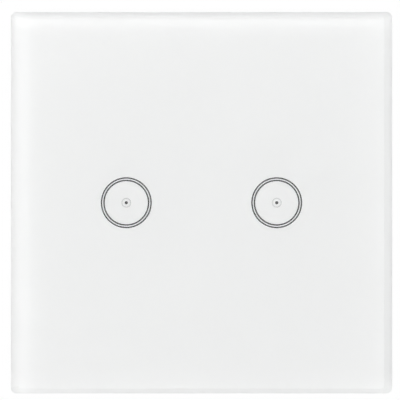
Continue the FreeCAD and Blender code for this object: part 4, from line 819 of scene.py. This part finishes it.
def make_winding():
    """The transformer's bobbin with its flanges, feet and base, and the taped winding on it."""
    x, z = -10.0, PART_ROW_Z
    wide, tall, hole = 8.8, 10.0, (3.6, 5.4)
    moulding = bmesh.new()
    for front in (-10.4, -16.6):
        ring_wall([
            (front, wide - 0.1, tall - 0.1), (front - 0.08, wide, tall),
            (front - 0.52, wide, tall), (front - 0.6, wide - 0.1, tall - 0.1),
        ], hole, moulding)
    tape = bmesh.new()
    front, long, layers, inset, dip = -11.0, 5.6, 14, 0.5, 0.16
    ring_wall([
        (front - long * n / layers, wide - inset - dip * (n % 2), tall - inset - dip * (n % 2))
        for n in range(layers + 1)
    ], hole, tape)
    for mesh in (moulding, tape):
        bmesh.ops.translate(mesh, vec=(x * MM, 0, z * MM), verts=mesh.verts)
    for end in (-1, 1):
        brick(moulding, x, z + end * 3.85, -10.45, 5.6, 2.3, deep=2.2, edge=0.1)
        for n in (-1, 0, 1):
            place = (x + n * 4.6, z + end * 4.45)
            brick(moulding, *place, -9.3, 1.5, 1.0, deep=1.2, edge=0.12)
    brick(moulding, x, z, -8.3, 13.0, tall, deep=1.5, edge=0.15)
    piece("bobbin_moulding", moulding, "black_header", "base", ["transformer_bobbin"])
    piece("winding_layers", tape, "winding_tape", "base")


def make_relays():
    """Relay cases over their bases, each with its sealing nib."""
    z, back = -5.4, -19.15
    cases, bases = bmesh.new(), bmesh.new()
    for x in (-11.4, -0.4):
        brick(cases, x, z, back, 10.2, 17.8, deep=11.05, edge=0.45)
        lathe([
            (0, back + 0.15), (0.75, back + 0.15), (0.75, back - 0.05), (0.6, back - 0.15),
            (0, back - 0.15),
        ], x + 3.4, 2.0, 24, cases)
        brick(bases, x, z, -8.15, 9.8, 17.4, deep=1.35, edge=0.1)
    piece("relay_cases", cases, "relay_plastic", "base", ["relay_left", "relay_right"])
    piece("relay_bases", bases, "black_header", "base")


def make_varistor():
    """A dipped disc on its side, with the lacquer drawn out along its leads."""
    x, z, middle = 11.0, -1.9, -12.8
    disc = lathe([
        (0, -1.8), (2.6, -1.77), (3.6, -1.58), (4.25, -1.05), (4.5, -0.4), (4.5, 0.4),
        (4.25, 1.05), (3.6, 1.58), (2.6, 1.77), (0, 1.8),
    ], 0, 0, 72)
    on_side = Matrix.Rotation(math.radians(90), 4, "X")
    turned = Matrix.Translation((x * MM, -middle * MM, z * MM)) @ on_side
    bmesh.ops.transform(disc, matrix=turned, verts=disc.verts)
    leads = bmesh.new()
    for side in (-1, 1):
        place = (x + side * 2.5, z)
        lathe([
            (0, -10.5), (0.8, -10.3), (0.75, -9.3), (0.5, -8.5), (0.36, -8.1), (0, -8.1),
        ], *place, 24, disc)
        lathe([(0, -8.6), (0.3, -8.6), (0.3, POWER_BACK), (0, POWER_BACK)], *place, 20, leads)
    piece("varistor_disc", disc, "varistor_blue", "base", ["varistor"])
    piece("varistor_leads", leads, "tinned_steel", "base")


dress_nodes()
make_glass()
make_keys()
make_housing_screws()
make_board_screws()
make_clamp_screws()
make_tracks()
make_board_parts()
make_aerial()
make_cans()
make_winding()
make_relays()
make_varistor()


# Camera, lamps and surroundings: these take metres

camera = bpy.data.objects.new("camera", bpy.data.cameras.new("camera"))
scene.collection.objects.link(camera)
scene.camera = camera
camera.data.lens = 200
camera.data.sensor_width = 36
camera.location = (0, -0.5113, 0)
camera.rotation_euler = (math.radians(90), 0, 0)
camera.data.shift_x = -0.00375
camera.data.shift_y = 0.0068
camera.data.clip_start = 0.01


def lamp(name, place, wide, tall, watts):
    """A softbox that looks at the part."""
    data = bpy.data.lights.new(name, "AREA")
    data.shape = "RECTANGLE"
    data.size = wide
    data.size_y = tall
    data.energy = watts
    made = bpy.data.objects.new(name, data)
    scene.collection.objects.link(made)
    made.location = place
    made.rotation_euler = (-Vector(place)).to_track_quat("-Z", "Y").to_euler()


lamp("key_lamp", (-0.42, -0.8, 0.3), wide=1.5, tall=1.0, watts=6.7)
lamp("rim_lamp", (0.8, -0.16, -0.02), wide=0.3, tall=0.3, watts=0.2)


def seen_rays(tree):
    """1 for what the camera sees, straight or in glass and metal, and 0 on dull surfaces."""
    rays = tree.nodes.new("ShaderNodeLightPath")
    total = rays.outputs["Is Camera Ray"]
    for name in ("Is Glossy Ray", "Is Transmission Ray"):
        both = tree.nodes.new("ShaderNodeMath")
        both.operation = "MAXIMUM"
        tree.links.new(total, both.inputs[0])
        tree.links.new(rays.outputs[name], both.inputs[1])
        total = both.outputs[0]
    return total


def make_world():
    """White to the camera and in glass and metal, softer where it lights dull surfaces."""
    world = bpy.data.worlds.new("studio")
    scene.world = world
    world.use_nodes = True
    tree = world.node_tree
    soft = tree.nodes["Background"]
    soft.inputs["Strength"].default_value = 0.9
    white = tree.nodes.new("ShaderNodeBackground")
    white.inputs["Color"].default_value = (1, 1, 1, 1)
    white.inputs["Strength"].default_value = 1.0
    place = tree.nodes.new("ShaderNodeTexCoord")
    split = tree.nodes.new("ShaderNodeSeparateXYZ")
    tree.links.new(place.outputs["Generated"], split.inputs[0])
    # The soft light falls off towards the ceiling.
    ceiling = tree.nodes.new("ShaderNodeMapRange")
    ceiling.interpolation_type = "SMOOTHSTEP"
    for key, value in (("From Min", 0.55), ("From Max", 0.9), ("To Min", 1.0), ("To Max", 0.25)):
        ceiling.inputs[key].default_value = value
    tree.links.new(split.outputs["Z"], ceiling.inputs["Value"])
    tree.links.new(ceiling.outputs["Result"], soft.inputs["Color"])
    choice = tree.nodes.new("ShaderNodeMixShader")
    tree.links.new(seen_rays(tree), choice.inputs[0])
    tree.links.new(soft.outputs[0], choice.inputs[1])
    tree.links.new(white.outputs[0], choice.inputs[2])
    tree.links.new(choice.outputs[0], tree.nodes["World Output"].inputs["Surface"])


def make_floor():
    """A pale round floor under the part, white further out and clear from below."""
    mesh = bmesh.new()
    bmesh.ops.create_circle(mesh, cap_ends=True, segments=96, radius=2.5)
    floor = as_object(mesh, "floor")
    floor.location = (0, 0, -0.16)
    s = Shader("floor")
    s.colour(s.mix(s.noise(6, 3), (0.77, 0.77, 0.77), (0.79, 0.79, 0.79)))
    s.set(Roughness=0.8)
    glow = s.node("ShaderNodeEmission", Color=(1, 1, 1, 1), Strength=1.0)
    distance = s.node("ShaderNodeVectorMath")
    distance.operation = "LENGTH"
    s.link(s.place, distance.inputs[0])
    outwards = s.spread(distance.outputs["Value"], 0.55, 1.0, 0.12, 0.6)
    clear = s.node("ShaderNodeBsdfTransparent")
    below = s.node("ShaderNodeNewGeometry").outputs["Backfacing"]
    surface = s.body.outputs[0]
    for share, other in (
        (s.combine("MULTIPLY", outwards, seen_rays(s.tree)), glow), (below, clear),
    ):
        both = s.node("ShaderNodeMixShader")
        s.link(share, both.inputs[0])
        s.link(surface, both.inputs[1])
        s.link(other.outputs[0], both.inputs[2])
        surface = both.outputs[0]
    s.link(surface, s.out.inputs["Surface"])
    floor.data.materials.append(s.material)


make_world()
make_floor()
scene.view_settings.view_transform = "Standard"
